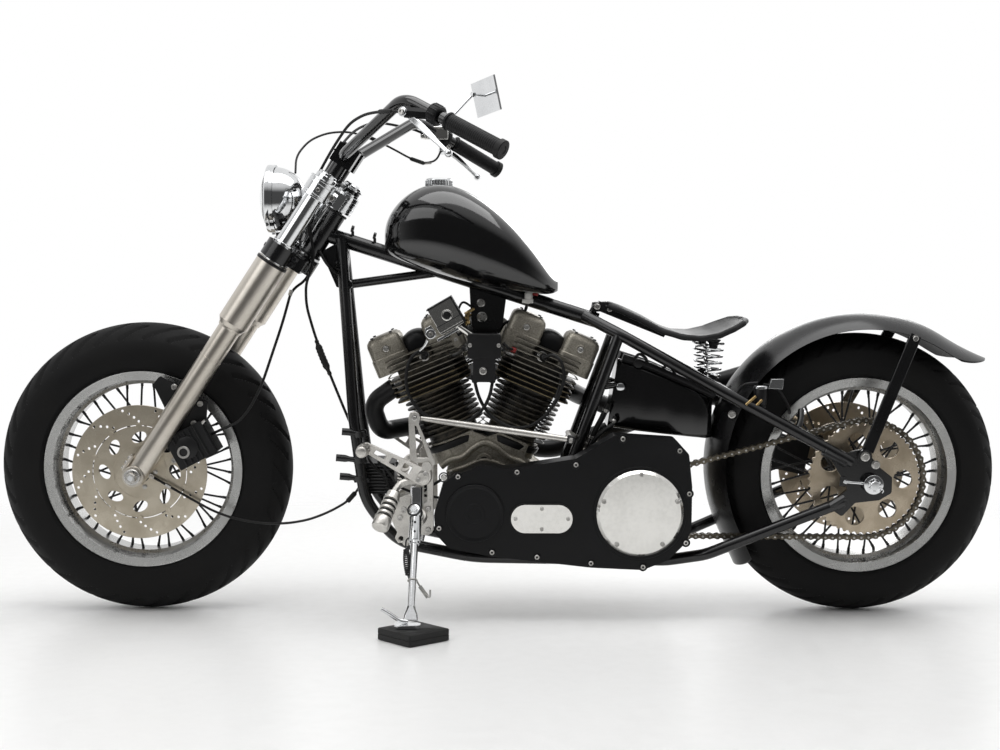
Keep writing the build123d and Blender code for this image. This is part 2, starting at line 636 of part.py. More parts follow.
def fuel_tank():
    """A teardrop, deep and round in front and pinched behind."""
    sections = []
    for x, low, high, half in TANK:
        height, width = high - low, 2 * half
        spot = Plane(origin=(x, 0, (low + high) / 2), x_dir=(0, 1, 0), z_dir=(1, 0, 0))
        sections.append(spot * RectangleRounded(width, height, TANK_CORNER * min(width, height)))
    tank = loft(sections)
    tunnel = rod(neck_mid, BACKBONE_END, BACKBONE_R + PIN_GAP)
    tunnel += Pos(0, 0, -60) * tunnel
    floor = plate([(-300, 700), (-300, 812), (130, 690), (160, 640)], BACKBONE_R + 3, -BACKBONE_R - 3)
    return tank - tunnel - floor


tank = fuel_tank()
CAP_X = -138.0
filler_cap = rod(at(CAP_X, 0, 930), at(CAP_X, 0, 958), 29) - tank

# -------------------------------------------------------- seat, box and fender
SEAT = [    # x, underside, top, half width
    (232, 686, 696, 20), (262, 676, 690, 30), (306, 652, 672, 50), (350, 626, 646, 72),
    (392, 608, 628, 96), (432, 600, 621, 114), (472, 603, 625, 123), (510, 615, 637, 116),
    (536, 632, 652, 92), (550, 644, 655, 48),
]


def seat_pan():
    sections = []
    for x, low, high, half in SEAT:
        spot = Plane(origin=(x, 0, (low + high) / 2), x_dir=(0, 1, 0), z_dir=(1, 0, 0))
        sections.append(spot * RectangleRounded(2 * half, high - low, 0.4 * (high - low)))
    return loft(sections)


seat = seat_pan()
seat_bracket = plate([(206, 676), (218, 694), (368, 626), (362, 614)], 14, -14) - seat
seat_bracket += rod(at(212, 0, 684), at(196, 0, 656), 8) - rod(neck_mid, BACKBONE_END, BACKBONE_R + PIN_GAP)
SPRING_R, SPRING_WIRE_R, SPRING_PLATE_T, SPRING_TURNS = 17.5, 3.2, 4.0, 5


def seat_spring(side):
    """A coil between two end plates, with a rod through it."""
    height = SPRING_HIGH - SPRING_LOW
    clear = SPRING_PLATE_T + SPRING_WIRE_R + PIN_GAP
    steps = 12 * SPRING_TURNS
    line = Polyline(*[
        (SPRING_R * math.cos(i * math.pi / 6), SPRING_R * math.sin(i * math.pi / 6),
         clear + (height - 2 * clear) * i / steps) for i in range(steps + 1)
    ])
    wire = sweep(Plane(origin=line @ 0, z_dir=line % 0) * RegularPolygon(SPRING_WIRE_R, 8),
                 path=line, transition=Transition.RIGHT)
    post = Pos(0, 0, height / 2) * Cylinder(5, height)
    plates = [Pos(0, 0, z) * Cylinder(SPRING_R + 2, SPRING_PLATE_T)
              for z in (SPRING_PLATE_T / 2, height - SPRING_PLATE_T / 2)]
    place = Pos(*at(SPRING_X, side * SPRING_LEFT, SPRING_LOW))
    return [place * post.fuse(*plates), place * wire]


springs = Compound(seat_spring(1) + seat_spring(-1))

TYRE_FRONT = REAR_AXLE_X - REAR_TYRE_R
OIL_BOX = [
    (230, 420), (262, 556), (TYRE_FRONT - 4.5, 470), (TYRE_FRONT - 34.5, 398), (276, 412),
]
oil_box = plate(OIL_BOX, -58, 58, 8)
for side in (1, -1):
    oil_box += rod(at(262, side * 50, 508), at(216, side * 69, 508), 7) - main_frame

FENDER_GAP = 30.0
FENDER_X, FENDER_Z, FENDER_R = REAR_AXLE_X + 8.7, REAR_TYRE_R + 17.2, REAR_TYRE_R + FENDER_GAP
FENDER_HALF, FENDER_CROWN, FENDER_T = 90.0, 34.0, 3.0
TAIL_ROUND, NOSE_ROUND = 120.0, 46.0    # lengths over which its ends are rounded off
FENDER_START, FENDER_END = 205.0, 58.0      # degrees round the wheel, from the rear


def on_fender(degrees, radius=FENDER_R):
    a = math.radians(degrees)
    return Vector(FENDER_X + radius * math.cos(a), 0, FENDER_Z + radius * math.sin(a))


def rear_fender():
    """A crowned strip bent round the wheel, flicked up at its tail."""
    tip = on_fender(FENDER_START)
    drop = Vector(math.sin(math.radians(25)), 0, -math.cos(math.radians(25)))
    tail = on_fender(FENDER_END)
    leave = math.radians(FENDER_END - 90)
    tail_end = Vector(FENDER_X + 279, 0, FENDER_Z + 242)
    path = Wire([
        Line(tip + drop * 92, tip),
        ThreePointArc(tip, on_fender((FENDER_START + FENDER_END) / 2), tail),
        TangentArc(tail, tail_end, tangent=(math.cos(leave), 0, math.sin(leave))),
    ])
    start = path @ 0
    spot = Plane(origin=start, x_dir=(0, 1, 0), z_dir=path % 0)
    outward = -1 if spot.y_dir.X > 0 else 1
    edge, top = FENDER_HALF, 0
    outer = ThreePointArc((-edge, -outward * FENDER_CROWN), (0, top), (edge, -outward * FENDER_CROWN))
    inner = ThreePointArc(
        (edge - FENDER_T, -outward * (FENDER_CROWN + 1)), (0, -outward * FENDER_T),
        (FENDER_T - edge, -outward * (FENDER_CROWN + 1)),
    )
    ends = [Line(outer @ 1, inner @ 0), Line(inner @ 1, outer @ 0)]
    section = make_face([outer, ends[0], inner, ends[1]])
    strip = sweep(spot * section, path=path)
    wide = 2 * edge + 6
    plan = Rectangle(2 * FENDER_R, wide) + Pos(FENDER_R, 0) * Ellipse(TAIL_ROUND, wide / 2)
    front = Rectangle(wide, 2 * FENDER_R) + Pos(0, -FENDER_R) * Ellipse(wide / 2, NOSE_ROUND)
    tail_cut = Pos(tail_end.X - TAIL_ROUND - FENDER_R, 0, 0) * extrude(plan, amount=2 * FENDER_R)
    nose_z = (tip + drop * 92).Z + NOSE_ROUND
    nose_cut = Plane.YZ * Pos(0, nose_z + FENDER_R) * front
    return strip & tail_cut & extrude(nose_cut, amount=4 * FENDER_R, both=True)


fender = rear_fender()


def fender_struts():
    """Flat bars from the axle plates up to the fender's edge."""
    pair = []
    for side in (1, -1):
        foot_left, head_left = AXLE_PLATE_LEFT + AXLE_PLATE_T + PIN_GAP, FENDER_HALF + PIN_GAP
        a = at(REAR_AXLE_X - 11, side * (foot_left + 4), REAR_TYRE_R + 71)
        b = at(FENDER_X + 96, side * (head_left + 4), FENDER_Z + 296)
        run = b - a
        spot = Plane(origin=a, x_dir=(0, 1, 0), z_dir=run)
        pair.append(extrude(spot * RectangleRounded(8, 26, 2), amount=run.length))
        pair[-1] += cross_rod(REAR_AXLE_X - 17, REAR_TYRE_R + 59, side * foot_left, side * (foot_left + 8), 15)
    return Compound(pair)


struts = fender_struts()

# ------------------------------------------------------------ rear axle, chain
rear_axle = cross_rod(REAR_AXLE_X, REAR_TYRE_R, 182, -182, AXLE_R)
for side, hub in ((1, CHAIN_LEFT + SPROCKET_T / 2 + 2), (-1, -REAR_DISC_LEFT + DISC_T / 2 + 2)):
    rear_axle += cross_rod(REAR_AXLE_X, REAR_TYRE_R, side * (hub + PIN_GAP),
                           side * (AXLE_PLATE_LEFT - PIN_GAP), spacer_r)
    rear_axle += cross_rod(REAR_AXLE_X, REAR_TYRE_R, side * (AXLE_PLATE_LEFT + AXLE_PLATE_T + PIN_GAP),
                           side * 176, 18)
rear_caliper = caliper(REAR_AXLE_X, REAR_TYRE_R, REAR_DISC_LEFT, REAR_CALIPER_ANGLE)
torque_arm = Pos(CALIPER_REACH / 2, 0, 0) * Box(CALIPER_REACH, 10, 30) + Rot(X=90) * Cylinder(30, 10)
torque_arm -= Rot(X=90) * Cylinder(spacer_r + PIN_GAP, 10)
rear_caliper += (Pos(*at(REAR_AXLE_X, REAR_DISC_LEFT - 30, REAR_TYRE_R))
                 * Rot(Y=-REAR_CALIPER_ANGLE) * torque_arm)


def chain():
    """A closed belt of links round both sprockets."""
    dx, dz = REAR_AXLE_X - SHAFT_X, REAR_TYRE_R - SHAFT_Z
    gap = math.hypot(dx, dz)
    tilt = math.atan2(dz, dx)
    spread = math.acos((CHAIN_PITCH_R - DRIVE_PITCH_R) / gap)

    def loop(offset):
        big, small = CHAIN_PITCH_R + offset, DRIVE_PITCH_R + offset
        points = []
        for centre_x, centre_z, r in ((SHAFT_X, SHAFT_Z, small), (REAR_AXLE_X, REAR_TYRE_R, big)):
            for way in (1, -1):
                a = tilt + math.pi - way * spread
                points.append((centre_x + r * math.cos(a), centre_z + r * math.sin(a)))
        s_top, s_low, b_top, b_low = points
        far_small = (SHAFT_X - small * math.cos(tilt), SHAFT_Z - small * math.sin(tilt))
        far_big = (REAR_AXLE_X + big * math.cos(tilt), REAR_TYRE_R + big * math.sin(tilt))
        return make_face(Plane.XZ * Wire([
            Line(s_top, b_top), ThreePointArc(b_top, far_big, b_low),
            Line(b_low, s_low), ThreePointArc(s_low, far_small, s_top),
        ]))

    run, wrap = math.sqrt(gap ** 2 - (CHAIN_PITCH_R - DRIVE_PITCH_R) ** 2), math.pi - spread
    lengths = [run, 2 * CHAIN_PITCH_R * wrap, run, 2 * DRIVE_PITCH_R * spread]
    count = 2 * round(sum(lengths) / CHAIN_PIN_PITCH / 2)
    face = loop(CHAIN_WAIST / 2) - loop(-CHAIN_WAIST / 2)
    pins = []
    starts = [tilt + math.pi - spread, tilt + math.pi - spread, tilt + math.pi + spread, tilt + math.pi + spread]
    for i in range(count):
        along, leg = (i + 0.5) * sum(lengths) / count, 0
        while along > lengths[leg]:
            along -= lengths[leg]
            leg += 1
        a = starts[leg]
        if leg == 0:        # the upper run, from the small sprocket to the large
            x = SHAFT_X + DRIVE_PITCH_R * math.cos(a) + (along / run) * (
                dx + (CHAIN_PITCH_R - DRIVE_PITCH_R) * math.cos(a))
            z = SHAFT_Z + DRIVE_PITCH_R * math.sin(a) + (along / run) * (
                dz + (CHAIN_PITCH_R - DRIVE_PITCH_R) * math.sin(a))
        elif leg == 1:
            b = a - along / CHAIN_PITCH_R
            x, z = REAR_AXLE_X + CHAIN_PITCH_R * math.cos(b), REAR_TYRE_R + CHAIN_PITCH_R * math.sin(b)
        elif leg == 2:
            back = 1 - along / run
            x = SHAFT_X + DRIVE_PITCH_R * math.cos(a) + back * (
                dx + (CHAIN_PITCH_R - DRIVE_PITCH_R) * math.cos(a))
            z = SHAFT_Z + DRIVE_PITCH_R * math.sin(a) + back * (
                dz + (CHAIN_PITCH_R - DRIVE_PITCH_R) * math.sin(a))
        else:
            b = a - along / DRIVE_PITCH_R
            x, z = SHAFT_X + DRIVE_PITCH_R * math.cos(b), SHAFT_Z + DRIVE_PITCH_R * math.sin(b)
        pins.append(Plane.XZ * Pos(x, z) * RegularPolygon(CHAIN_BAND / 2, 6))
    return Pos(*at(0, CHAIN_LEFT, 0)) * extrude(face + pins, amount=CHAIN_HALF_W, both=True)


drive_chain = chain()
# ------------------------------------------------------------ forward controls
CONTROL_PLATE = [
    (-152, 350), (-150, 206), (-162, 196), (-216, 184), (-240, 250), (-206, 300),
]
CONTROL_LEFT = (132.0, 142.0)


def forward_controls(side):
    """Bracket plate, foot peg and pedal arm on one side."""
    near, far = CONTROL_LEFT
    piece = plate(CONTROL_PLATE, near, far, 4)
    piece += rod(at(-268, 96, 224), at(-222, near + 2, 240), 9)
    piece += rod(at(-206, 96, 166), at(-196, near + 2, 200), 9)
    piece += rod(at(-168, far - 2, 326), at(-168, far + 22, 326), 20)
    piece += rod(at(-168, far + 12, 322), at(-216, 178, 318), 8)
    piece += rod(at(-216, 178, 318), at(-252, 262, 234), 9)
    piece += rod(at(-225, 199, 297), at(-252, 262, 234), 15)
    piece += rod(at(-168, far + 12, 326), at(-284, 190, 392), 7)
    piece += rod(at(-284, 184, 392), at(-292, 240, 388), 11)
    if side < 0:
        piece = mirror(piece, Plane.XZ)
    return piece


controls_left = forward_controls(1)
controls_right = forward_controls(-1)
controls_left -= main_frame + cradle
controls_right -= main_frame + cradle
shift_linkage = plate([(-178, 348), (-154, 348), (-182, 462), (-202, 458)], 165, 172)
shift_linkage += rod(at(-190, 166, 452), at(-190, 146, 452), 5)
shift_linkage += rod(at(-190, 150, 452), at(156, 150, 404), 6.5)
shift_linkage += rod(at(148, 156, 405), at(148, CASE_LEFT[1] - 20, 405), 5)
shift_linkage += rod(at(148, CASE_LEFT[1] - 20, 405), at(206, CASE_LEFT[1] - 20, 362), 8)
shift_linkage -= controls_left + gearbox

# ------------------------------------------------------------------- side stand
STAND_PIVOT = at(-181, 178, 250)
floor_tilt = math.tan(math.radians(LEAN))
STAND_FOOT_LEFT = 345.0
STAND_FOOT = at(-184, STAND_FOOT_LEFT, STAND_FOOT_LEFT * floor_tilt + PAD_T + 9)
LEG_DIR = (STAND_FOOT - STAND_PIVOT).normalized()
FOLDED_DIR = Vector(0.975, -0.18, 0.13)
STAND_AXIS = LEG_DIR.cross(FOLDED_DIR).normalized()
STAND_HEAD_R, STAND_HEAD_H = 15.0, 26.0


def side_stand():
    """A chromed leg with its hinge eye, housing, foot and kick tab."""
    half = STAND_AXIS * (STAND_HEAD_H / 2)
    eye = rod(STAND_PIVOT - half, STAND_PIVOT + half, STAND_HEAD_R)
    housing = rod(STAND_PIVOT, STAND_PIVOT + LEG_DIR * 72, 13)
    leg = rod(STAND_PIVOT, STAND_FOOT, STAND_LEG_R)
    foot = Pos(*STAND_FOOT) * Rot(X=-LEAN) * Pos(-6, 0, -5) * Box(52, 36, 7)
    tab = rod(STAND_FOOT + Vector(-6, 4, 2), at(-246, STAND_FOOT_LEFT, 88), 4)
    body = eye.fuse(housing, leg, foot, tab)
    reach = STAND_AXIS * 40
    return body - rod(STAND_PIVOT - reach, STAND_PIVOT + reach, 6 + PIN_GAP)


stand = side_stand()
pin_out = STAND_AXIS * (STAND_HEAD_H / 2 + 5)
cheek_near = STAND_AXIS * (-STAND_HEAD_H / 2 - 1)
cheek_far = STAND_AXIS * (-STAND_HEAD_H / 2 - 13)
stand_bracket = rod(STAND_PIVOT + cheek_far, STAND_PIVOT + pin_out, 6)
stand_bracket += rod(STAND_PIVOT + cheek_far, STAND_PIVOT + cheek_near, 18)
stand_bracket += rod(STAND_PIVOT + cheek_far * 0.8, at(-181, CONTROL_LEFT[1] + PIN_GAP, 232), 12)
stand_bracket -= plate(CONTROL_PLATE, CONTROL_LEFT[0] - 20, CONTROL_LEFT[1] + PIN_GAP)

# ----------------------------------------------------------------------- cables
CLUTCH_CABLE = [
    on_fork(78.4, 299.6, 955.2), on_fork(55.1, 286, 943.4), on_fork(30.5, 250, 929.7), on_fork(4.8, 212, 910.6),
    on_fork(-15.5, 174, 879.5),
    on_fork(-22.1, 132, 827.4), on_fork(-25, 86, 772), on_fork(-20, 66, 704), on_fork(4, 60, 655),
    on_fork(50, 56, 614), on_fork(70, 52, 580), on_fork(76, 46, 540), at(-427, 42, 683),
    at(-405, 46, 607), at(-374, 54, 531), at(-341, 60, 451), at(-314, 64, 390),
    at(-284, 68, 336), at(-238, 68, 292), at(-184, 62, 268), at(-124.6, 56, 258),
]
BRAKE_HOSE = [
    on_fork(95.1, -300, 965.9), on_fork(65.2, -292, 960.7), on_fork(22.9, -250, 941.5), on_fork(-14, -200, 921.1),
    on_fork(-35.4, -140, 880.8), on_fork(-36.5, -76, 827.5), on_fork(-25, -12, 768), on_fork(-21, 20, 716),
    on_fork(-2, 42, 668), on_fork(40, 44, 622), on_fork(68, 38, 580), on_fork(72, 38, 544),
    on_fork(59.2, 56, 510.4), on_fork(82.1, 70, 444.1), on_fork(102.1, 84, 371.2), on_fork(119.3, 94, 308.4), on_fork(126.2, 101, 252),
    on_fork(121.3, 103, 211.8), on_fork(103.3, 98, 184.5), on_fork(86.2, 92, 156.7),
]
THROTTLE_CABLE = [
    on_fork(144.5, -316, 956.3), on_fork(148.7, -306, 928), on_fork(129.6, -284, 906), on_fork(97.3, -258, 896.9),
    on_fork(43.4, -222, 891.6), on_fork(-6, -184, 883.2), on_fork(-47.8, -142, 866.8), on_fork(-80.8, -102, 836.9),
    on_fork(-100.1, -66, 800.5), on_fork(-100.5, -34, 757.2), on_fork(-78, -6, 726),
]
SPEED_CABLE = [
    on_fork(18, 97, 6), on_fork(41.8, 99, 9.6), on_fork(62.4, 102, 11.1), on_fork(118.7, 104, 14.4),
    at(-627, 100, 238), at(-588, 96, 222), at(-549, 94, 213), at(-506, 94, 208), at(-460, 92, 209),
    at(-415, 88, 217), at(-372, 84, 234), at(-336, 77, 254), at(-312, 72.5, 280), at(-300, 72.5, 312),
]
PLUG_LEADS = [
    [
        at(-19, 92, 520.4), at(-24, 102, 493), at(-38, 107, 464), at(-66, 108, 439),
        at(-106, 106, 428), at(-150, 105, 440), at(-186, 103, 468), at(-204, 100, 502),
        at(-206, 98, 540), at(-198, 94, 570), at(-182, 86, 586), at(-166, 76.5, 580),
    ],
    [
        at(-57, 92, 520.4), at(-50, 91, 492), at(-36, 92, 463), at(-9, 98, 436),
        at(26, 102, 421), at(64, 103, 425), at(98, 102, 450), at(126, 101, 492),
        at(138, 98, 534), at(130, 94, 568), at(112, 86, 582), at(94, 76.5, 574),
    ],
]

clutch_cable = cable(CLUTCH_CABLE)
brake_hose = cable(BRAKE_HOSE)
throttle_cable = cable(THROTTLE_CABLE, CABLE_R - 0.6)
speed_cable = cable(SPEED_CABLE, CABLE_R - 0.3)
plug_leads = Compound([cable(route, CABLE_R + 0.6) for route in PLUG_LEADS])

# -------------------------------------------------------------------- stand pad
PAD_SIDE = 104.0
PAD_X, PAD_Y = -178.0, -352.0

BODIES = {
    "frame": dict(
        main_frame=main_frame, cradle=cradle, crankcase=crankcase, gearbox=gearbox,
        cylinders=Compound([cylinder(-CYLINDER_LEAN), cylinder(CYLINDER_LEAN)]),
        cylinder_heads=heads, rocker_boxes=Compound([rocker_box(-CYLINDER_LEAN), rocker_box(CYLINDER_LEAN)]),
        primary_cover=primary_cover, derby_cover=derby_cover, inspection_cover=inspection_cover,
        air_cleaner=air_cleaner, coil=coil, key_box=key_box, regulator=regulator,
        exhaust_pipes=exhaust_pipes, fuel_tank=tank, filler_cap=filler_cap,
        seat=seat, seat_bracket=seat_bracket, seat_springs=springs,
        oil_box=oil_box, rear_fender=fender, fender_struts=struts,
        rear_axle=rear_axle, rear_caliper=rear_caliper, drive_chain=drive_chain,
        forward_controls=Compound([controls_left, controls_right]),
        shift_linkage=shift_linkage, stand_bracket=stand_bracket, plug_leads=plug_leads,
    ),
    "steering": dict(
        fork_legs=legs, fork_sleeves=sleeves, fork_tubes=upper_tubes, lower_yoke=lower_yoke,
        upper_yoke=upper_yoke, bar_risers=bar_risers, handlebar=handlebar,
        grips=grips(), levers=Compound([clutch_lever, brake_lever]), mirror=mirror_piece,
        headlight=headlight(), headlight_glass=headlight_glass(), front_axle=front_axle,
        front_caliper=front_caliper, brake_hose=brake_hose, clutch_cable=clutch_cable,
        throttle_cable=throttle_cable, speed_cable=speed_cable,
    ),
    "front_wheel": dict(front_wheel=front_wheel, front_tyre=front_tyre, front_disc=front_disc),
    "rear_wheel": dict(
        rear_wheel=rear_wheel, rear_tyre=rear_tyre, rear_disc=rear_disc, rear_sprocket=rear_sprocket),
    "side_stand": dict(side_stand=stand),
}

# the stance: lean to the left about the line of the tyres, then centre the box
CROWN_R = FRONT_TYRE_W / 2
SHIFT_Y = math.sin(math.radians(LEAN)) * BAR_END_LEFT.Z
LIFT = CROWN_R * (1 - math.cos(math.radians(LEAN)))
STANCE = Pos(0, SHIFT_Y, LIFT) * Rot(X=LEAN)


def placed(point):
    return (STANCE * Pos(*point)).position


def turned_way(vector):
    return placed(vector) - placed(Vector(0, 0, 0))


JOINTS = {      # body: parent, a point of the axis, its direction
    "steering": ("frame", placed(neck_mid), turned_way(on_fork(0, 0, 1) - on_fork(0, 0, 0))),
    "front_wheel": ("steering", placed(at(FRONT_AXLE_X, 0, FRONT_TYRE_R)), turned_way(Vector(0, 1, 0))),
    "rear_wheel": ("frame", placed(at(REAR_AXLE_X, 0, REAR_TYRE_R)), turned_way(Vector(0, 1, 0))),
    "side_stand": ("frame", placed(STAND_PIVOT), turned_way(STAND_AXIS)),
}

stand_pad = Pos(PAD_X, PAD_Y + SHIFT_Y, PAD_T / 2) * Rot(Z=42) * Box(PAD_SIDE, PAD_SIDE, PAD_T)
stand_pad = fillet(stand_pad.edges().filter_by(Axis.Z), 4)


def main():
    os.makedirs("parts", exist_ok=True)
    for pieces in BODIES.values():
        for name, piece in pieces.items():
            export_step(STANCE * piece, f"parts/{name}.step")
    export_step(stand_pad, "parts/stand_pad.step")
    for name, route in (("clutch_cable", CLUTCH_CABLE), ("brake_hose", BRAKE_HOSE),
                        ("throttle_cable", THROTTLE_CABLE), ("speed_cable", SPEED_CABLE),
                        ("front lead", PLUG_LEADS[0]), ("rear lead", PLUG_LEADS[1])):
        print(name, "radii", [round(r) for r in corner_radii(route)])
    for body, (parent, point, axis) in JOINTS.items():
        print(body, "on", parent, [round(v, 2) for v in point], [round(v, 5) for v in axis])


if __name__ == "__main__":
    main()
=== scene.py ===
# %% [markdown]
# A long-forked motorcycle, dressed over its engineering model. The solids come in
# packed, in metres, already at their place and standing on the floor; this script
# gives them finishes and adds what a maker would fit last: treads, nipples, chain
# plates, springs, screws and levers. The first cell loads that frame.

# %% Load the frame
import bmesh
import bpy
import json
import math
from math import cos, pi, radians, sin
from mathutils import Matrix, Vector

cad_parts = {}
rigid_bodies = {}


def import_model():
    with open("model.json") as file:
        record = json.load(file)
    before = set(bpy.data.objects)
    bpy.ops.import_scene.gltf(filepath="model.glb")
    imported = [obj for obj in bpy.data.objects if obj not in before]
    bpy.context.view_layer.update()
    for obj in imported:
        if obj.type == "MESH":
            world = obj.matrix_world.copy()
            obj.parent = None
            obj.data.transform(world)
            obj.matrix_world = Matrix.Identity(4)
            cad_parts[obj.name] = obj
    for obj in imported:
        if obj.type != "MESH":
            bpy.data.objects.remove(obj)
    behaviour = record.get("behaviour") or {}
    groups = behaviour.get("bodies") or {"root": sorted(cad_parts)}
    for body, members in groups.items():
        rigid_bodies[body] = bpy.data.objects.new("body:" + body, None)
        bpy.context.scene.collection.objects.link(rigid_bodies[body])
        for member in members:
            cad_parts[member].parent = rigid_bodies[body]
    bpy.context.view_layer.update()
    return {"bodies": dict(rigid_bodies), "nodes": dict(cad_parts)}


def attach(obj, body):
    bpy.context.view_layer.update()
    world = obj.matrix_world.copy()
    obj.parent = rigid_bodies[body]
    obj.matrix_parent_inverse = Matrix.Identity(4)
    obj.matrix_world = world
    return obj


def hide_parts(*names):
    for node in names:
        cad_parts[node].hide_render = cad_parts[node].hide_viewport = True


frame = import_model()
BACK, LEFT, UP = (1, 0, 0), (0, 1, 0), (0, 0, 1)
print("solids:", len(frame["nodes"]), "on bodies", ", ".join(frame["bodies"]))

# %% [markdown]
# The machine leans on its side stand, so no part of it is square to the floor.
# It is far easier to think of it upright: x runs along it, "left" is the distance
# to the rider's left and z is the height, in millimetres as on a drawing. One
# function carries such a point to where it stands. The fork has slanted
# coordinates of its own: behind its line, to the left, and up from the axle.

# %% Places on the machine
LEAN = radians(4.0)
SHIFT, LIFT = 69.82, 0.17
RAKE = radians(33.1)
FRONT_AXLE = (-785.3, 320.8)
REAR_AXLE = (793.3, 312.8)


def vec(*p):
    return Vector(p)


def stand(p):
    """A point (x, left, z) of the upright machine, in metres as it leans."""
    x, left, z = p
    c, s = cos(LEAN), sin(LEAN)
    return vec(x, -left * c - z * s + SHIFT, -left * s + z * c + LIFT) / 1000


def fork(back, left, up):
    """A point of the fork in the upright machine's (x, left, z)."""
    c, s = cos(RAKE), sin(RAKE)
    return vec(FRONT_AXLE[0] + back * c + up * s, left, FRONT_AXLE[1] - back * s + up * c)


print("bar clamp stands at", [round(v, 3) for v in stand(fork(0, 0, 817))])

# %% [markdown]
# The camera comes before any shape, because it decides which details deserve work.
# It was solved from the two wheels and the frame's straight tubes: about three
# metres out, a little above the tank, with a 50 mm lens on a full-size frame.

# %% Camera
def in_scene(name, data):
    made = bpy.data.objects.new(name, data)
    bpy.context.collection.objects.link(made)
    return made


def turned_by_lean(v):
    return Matrix.Rotation(LEAN, 3, "X") @ Vector(v)


YAW, PITCH, ROLL = 0.0143, 0.0973, 0.0056
EYE = (-45.5, 3086.5, 828.5)
LENS_MM, SENSOR_MM, FAR_M = 50, 36, 60
ahead = vec(sin(YAW) * cos(PITCH), cos(YAW) * cos(PITCH), -sin(PITCH))
across = vec(cos(YAW), -sin(YAW), 0)
above = across.cross(ahead)
right = turned_by_lean(across * cos(ROLL) + above * sin(ROLL))
up = turned_by_lean(above * cos(ROLL) - across * sin(ROLL))
optics = bpy.data.cameras.new("camera")
optics.lens, optics.sensor_width, optics.clip_end = LENS_MM, SENSOR_MM, FAR_M
camera = in_scene("camera", optics)
turn = Matrix((right, up, -turned_by_lean(ahead))).transposed()
camera.matrix_world = Matrix.Translation(stand(EYE)) @ turn.to_4x4()
bpy.context.scene.camera = camera
print("camera at", [round(v, 2) for v in camera.location])

# %% [markdown]
# Chrome and black paint have little colour of their own: they show the room. A
# white room on every side would make chrome look like chalk, so the world here is
# white overhead and beyond the machine and dimmer at the side of the camera, as a
# real studio is. Camera rays see plain white.

# %% Studio
scene = bpy.context.scene
scene.view_settings.view_transform = "Standard"
world = bpy.data.worlds.new("studio")
scene.world = world
world.use_nodes = True
air = world.node_tree
air.nodes.clear()


def add_node(tree, kind, settings=(), sockets=()):
    """Adds a node. A socket takes a constant, another node's output or a Value."""
    made = tree.nodes.new(kind)
    for name, value in dict(settings).items():
        setattr(made, name, value)
    for name, value in dict(sockets).items():
        value = getattr(value, "socket", value)
        if isinstance(value, bpy.types.NodeSocket):
            tree.links.new(value, made.inputs[name])
        else:
            made.inputs[name].default_value = value
    return made


def world_node(kind, settings=(), sockets=()):
    return add_node(air, "ShaderNode" + kind, settings, sockets)


toward = world_node("SeparateXYZ", sockets={0: world_node("TexCoord").outputs["Generated"]})
side = world_node("MapRange", {"interpolation_type": "SMOOTHSTEP"},
    {"Value": toward.outputs["Y"], "From Min": -0.80, "From Max": 0.30, "To Min": 0.07, "To Max": 0.90})
top = world_node("MapRange", {"interpolation_type": "SMOOTHSTEP"},
    {"Value": toward.outputs["Z"], "From Min": 0.25, "From Max": 0.75, "To Min": 0.0, "To Max": 0.75})
room = world_node("Math", {"operation": "MAXIMUM"}, {0: side.outputs[0], 1: top.outputs[0]})
rays = world_node("LightPath")
seen = world_node("Math", {"operation": "MAXIMUM"},
    {0: rays.outputs["Is Camera Ray"], 1: rays.outputs["Is Transmission Ray"]})
level = world_node("Mix", {"data_type": "FLOAT"}, {0: seen.outputs[0], 2: room.outputs[0], 3: 1.0})
glow = world_node("Background", sockets={"Color": (1, 1, 1, 1), "Strength": level.outputs[0]})
world_node("OutputWorld", sockets={"Surface": glow.outputs[0]})


def softbox(name, place, aim, width, height, watts):
    lamp = bpy.data.lights.new(name, "AREA")
    lamp.shape, lamp.size, lamp.size_y, lamp.energy = "RECTANGLE", width, height, watts
    box = in_scene(name, lamp)
    box.location = place
    box.rotation_euler = (Vector(aim) - Vector(place)).to_track_quat("-Z", "Y").to_euler()


softbox("softbox overhead", (0.1, -0.3, 2.9), (0, 0, 0.4), 3.2, 1.6, 40)
softbox("softbox front", (-2.4, -2.2, 2.0), (0, 0, 0.5), 2.2, 1.8, 20)
softbox("softbox far side", (1.2, 2.6, 1.8), (0, 0, 0.5), 1.6, 1.2, 20)

# %% [markdown]
# Finishes are written as sums. A small class wraps a shader socket and adds the
# Math node that a Python operator asks for, so a formula reads as a formula; one
# method adds every other node. Constants sit on the shader's own sockets.

# %% Shader sums
class Value:
    """A number that varies over the surface."""

    def __init__(self, finish, socket):
        self.finish, self.socket = finish, socket

    def sum(self, operation, *terms):
        return self.finish.value("Math", {"operation": operation}, dict(enumerate(terms)))

    def __add__(self, other): return self.sum("ADD", self, other)
    def __sub__(self, other): return self.sum("SUBTRACT", self, other)
    def __rsub__(self, other): return self.sum("SUBTRACT", other, self)
    def __mul__(self, other): return self.sum("MULTIPLY", self, other)
    def __pow__(self, other): return self.sum("POWER", self, other)
    def sine(self): return self.sum("SINE", self)


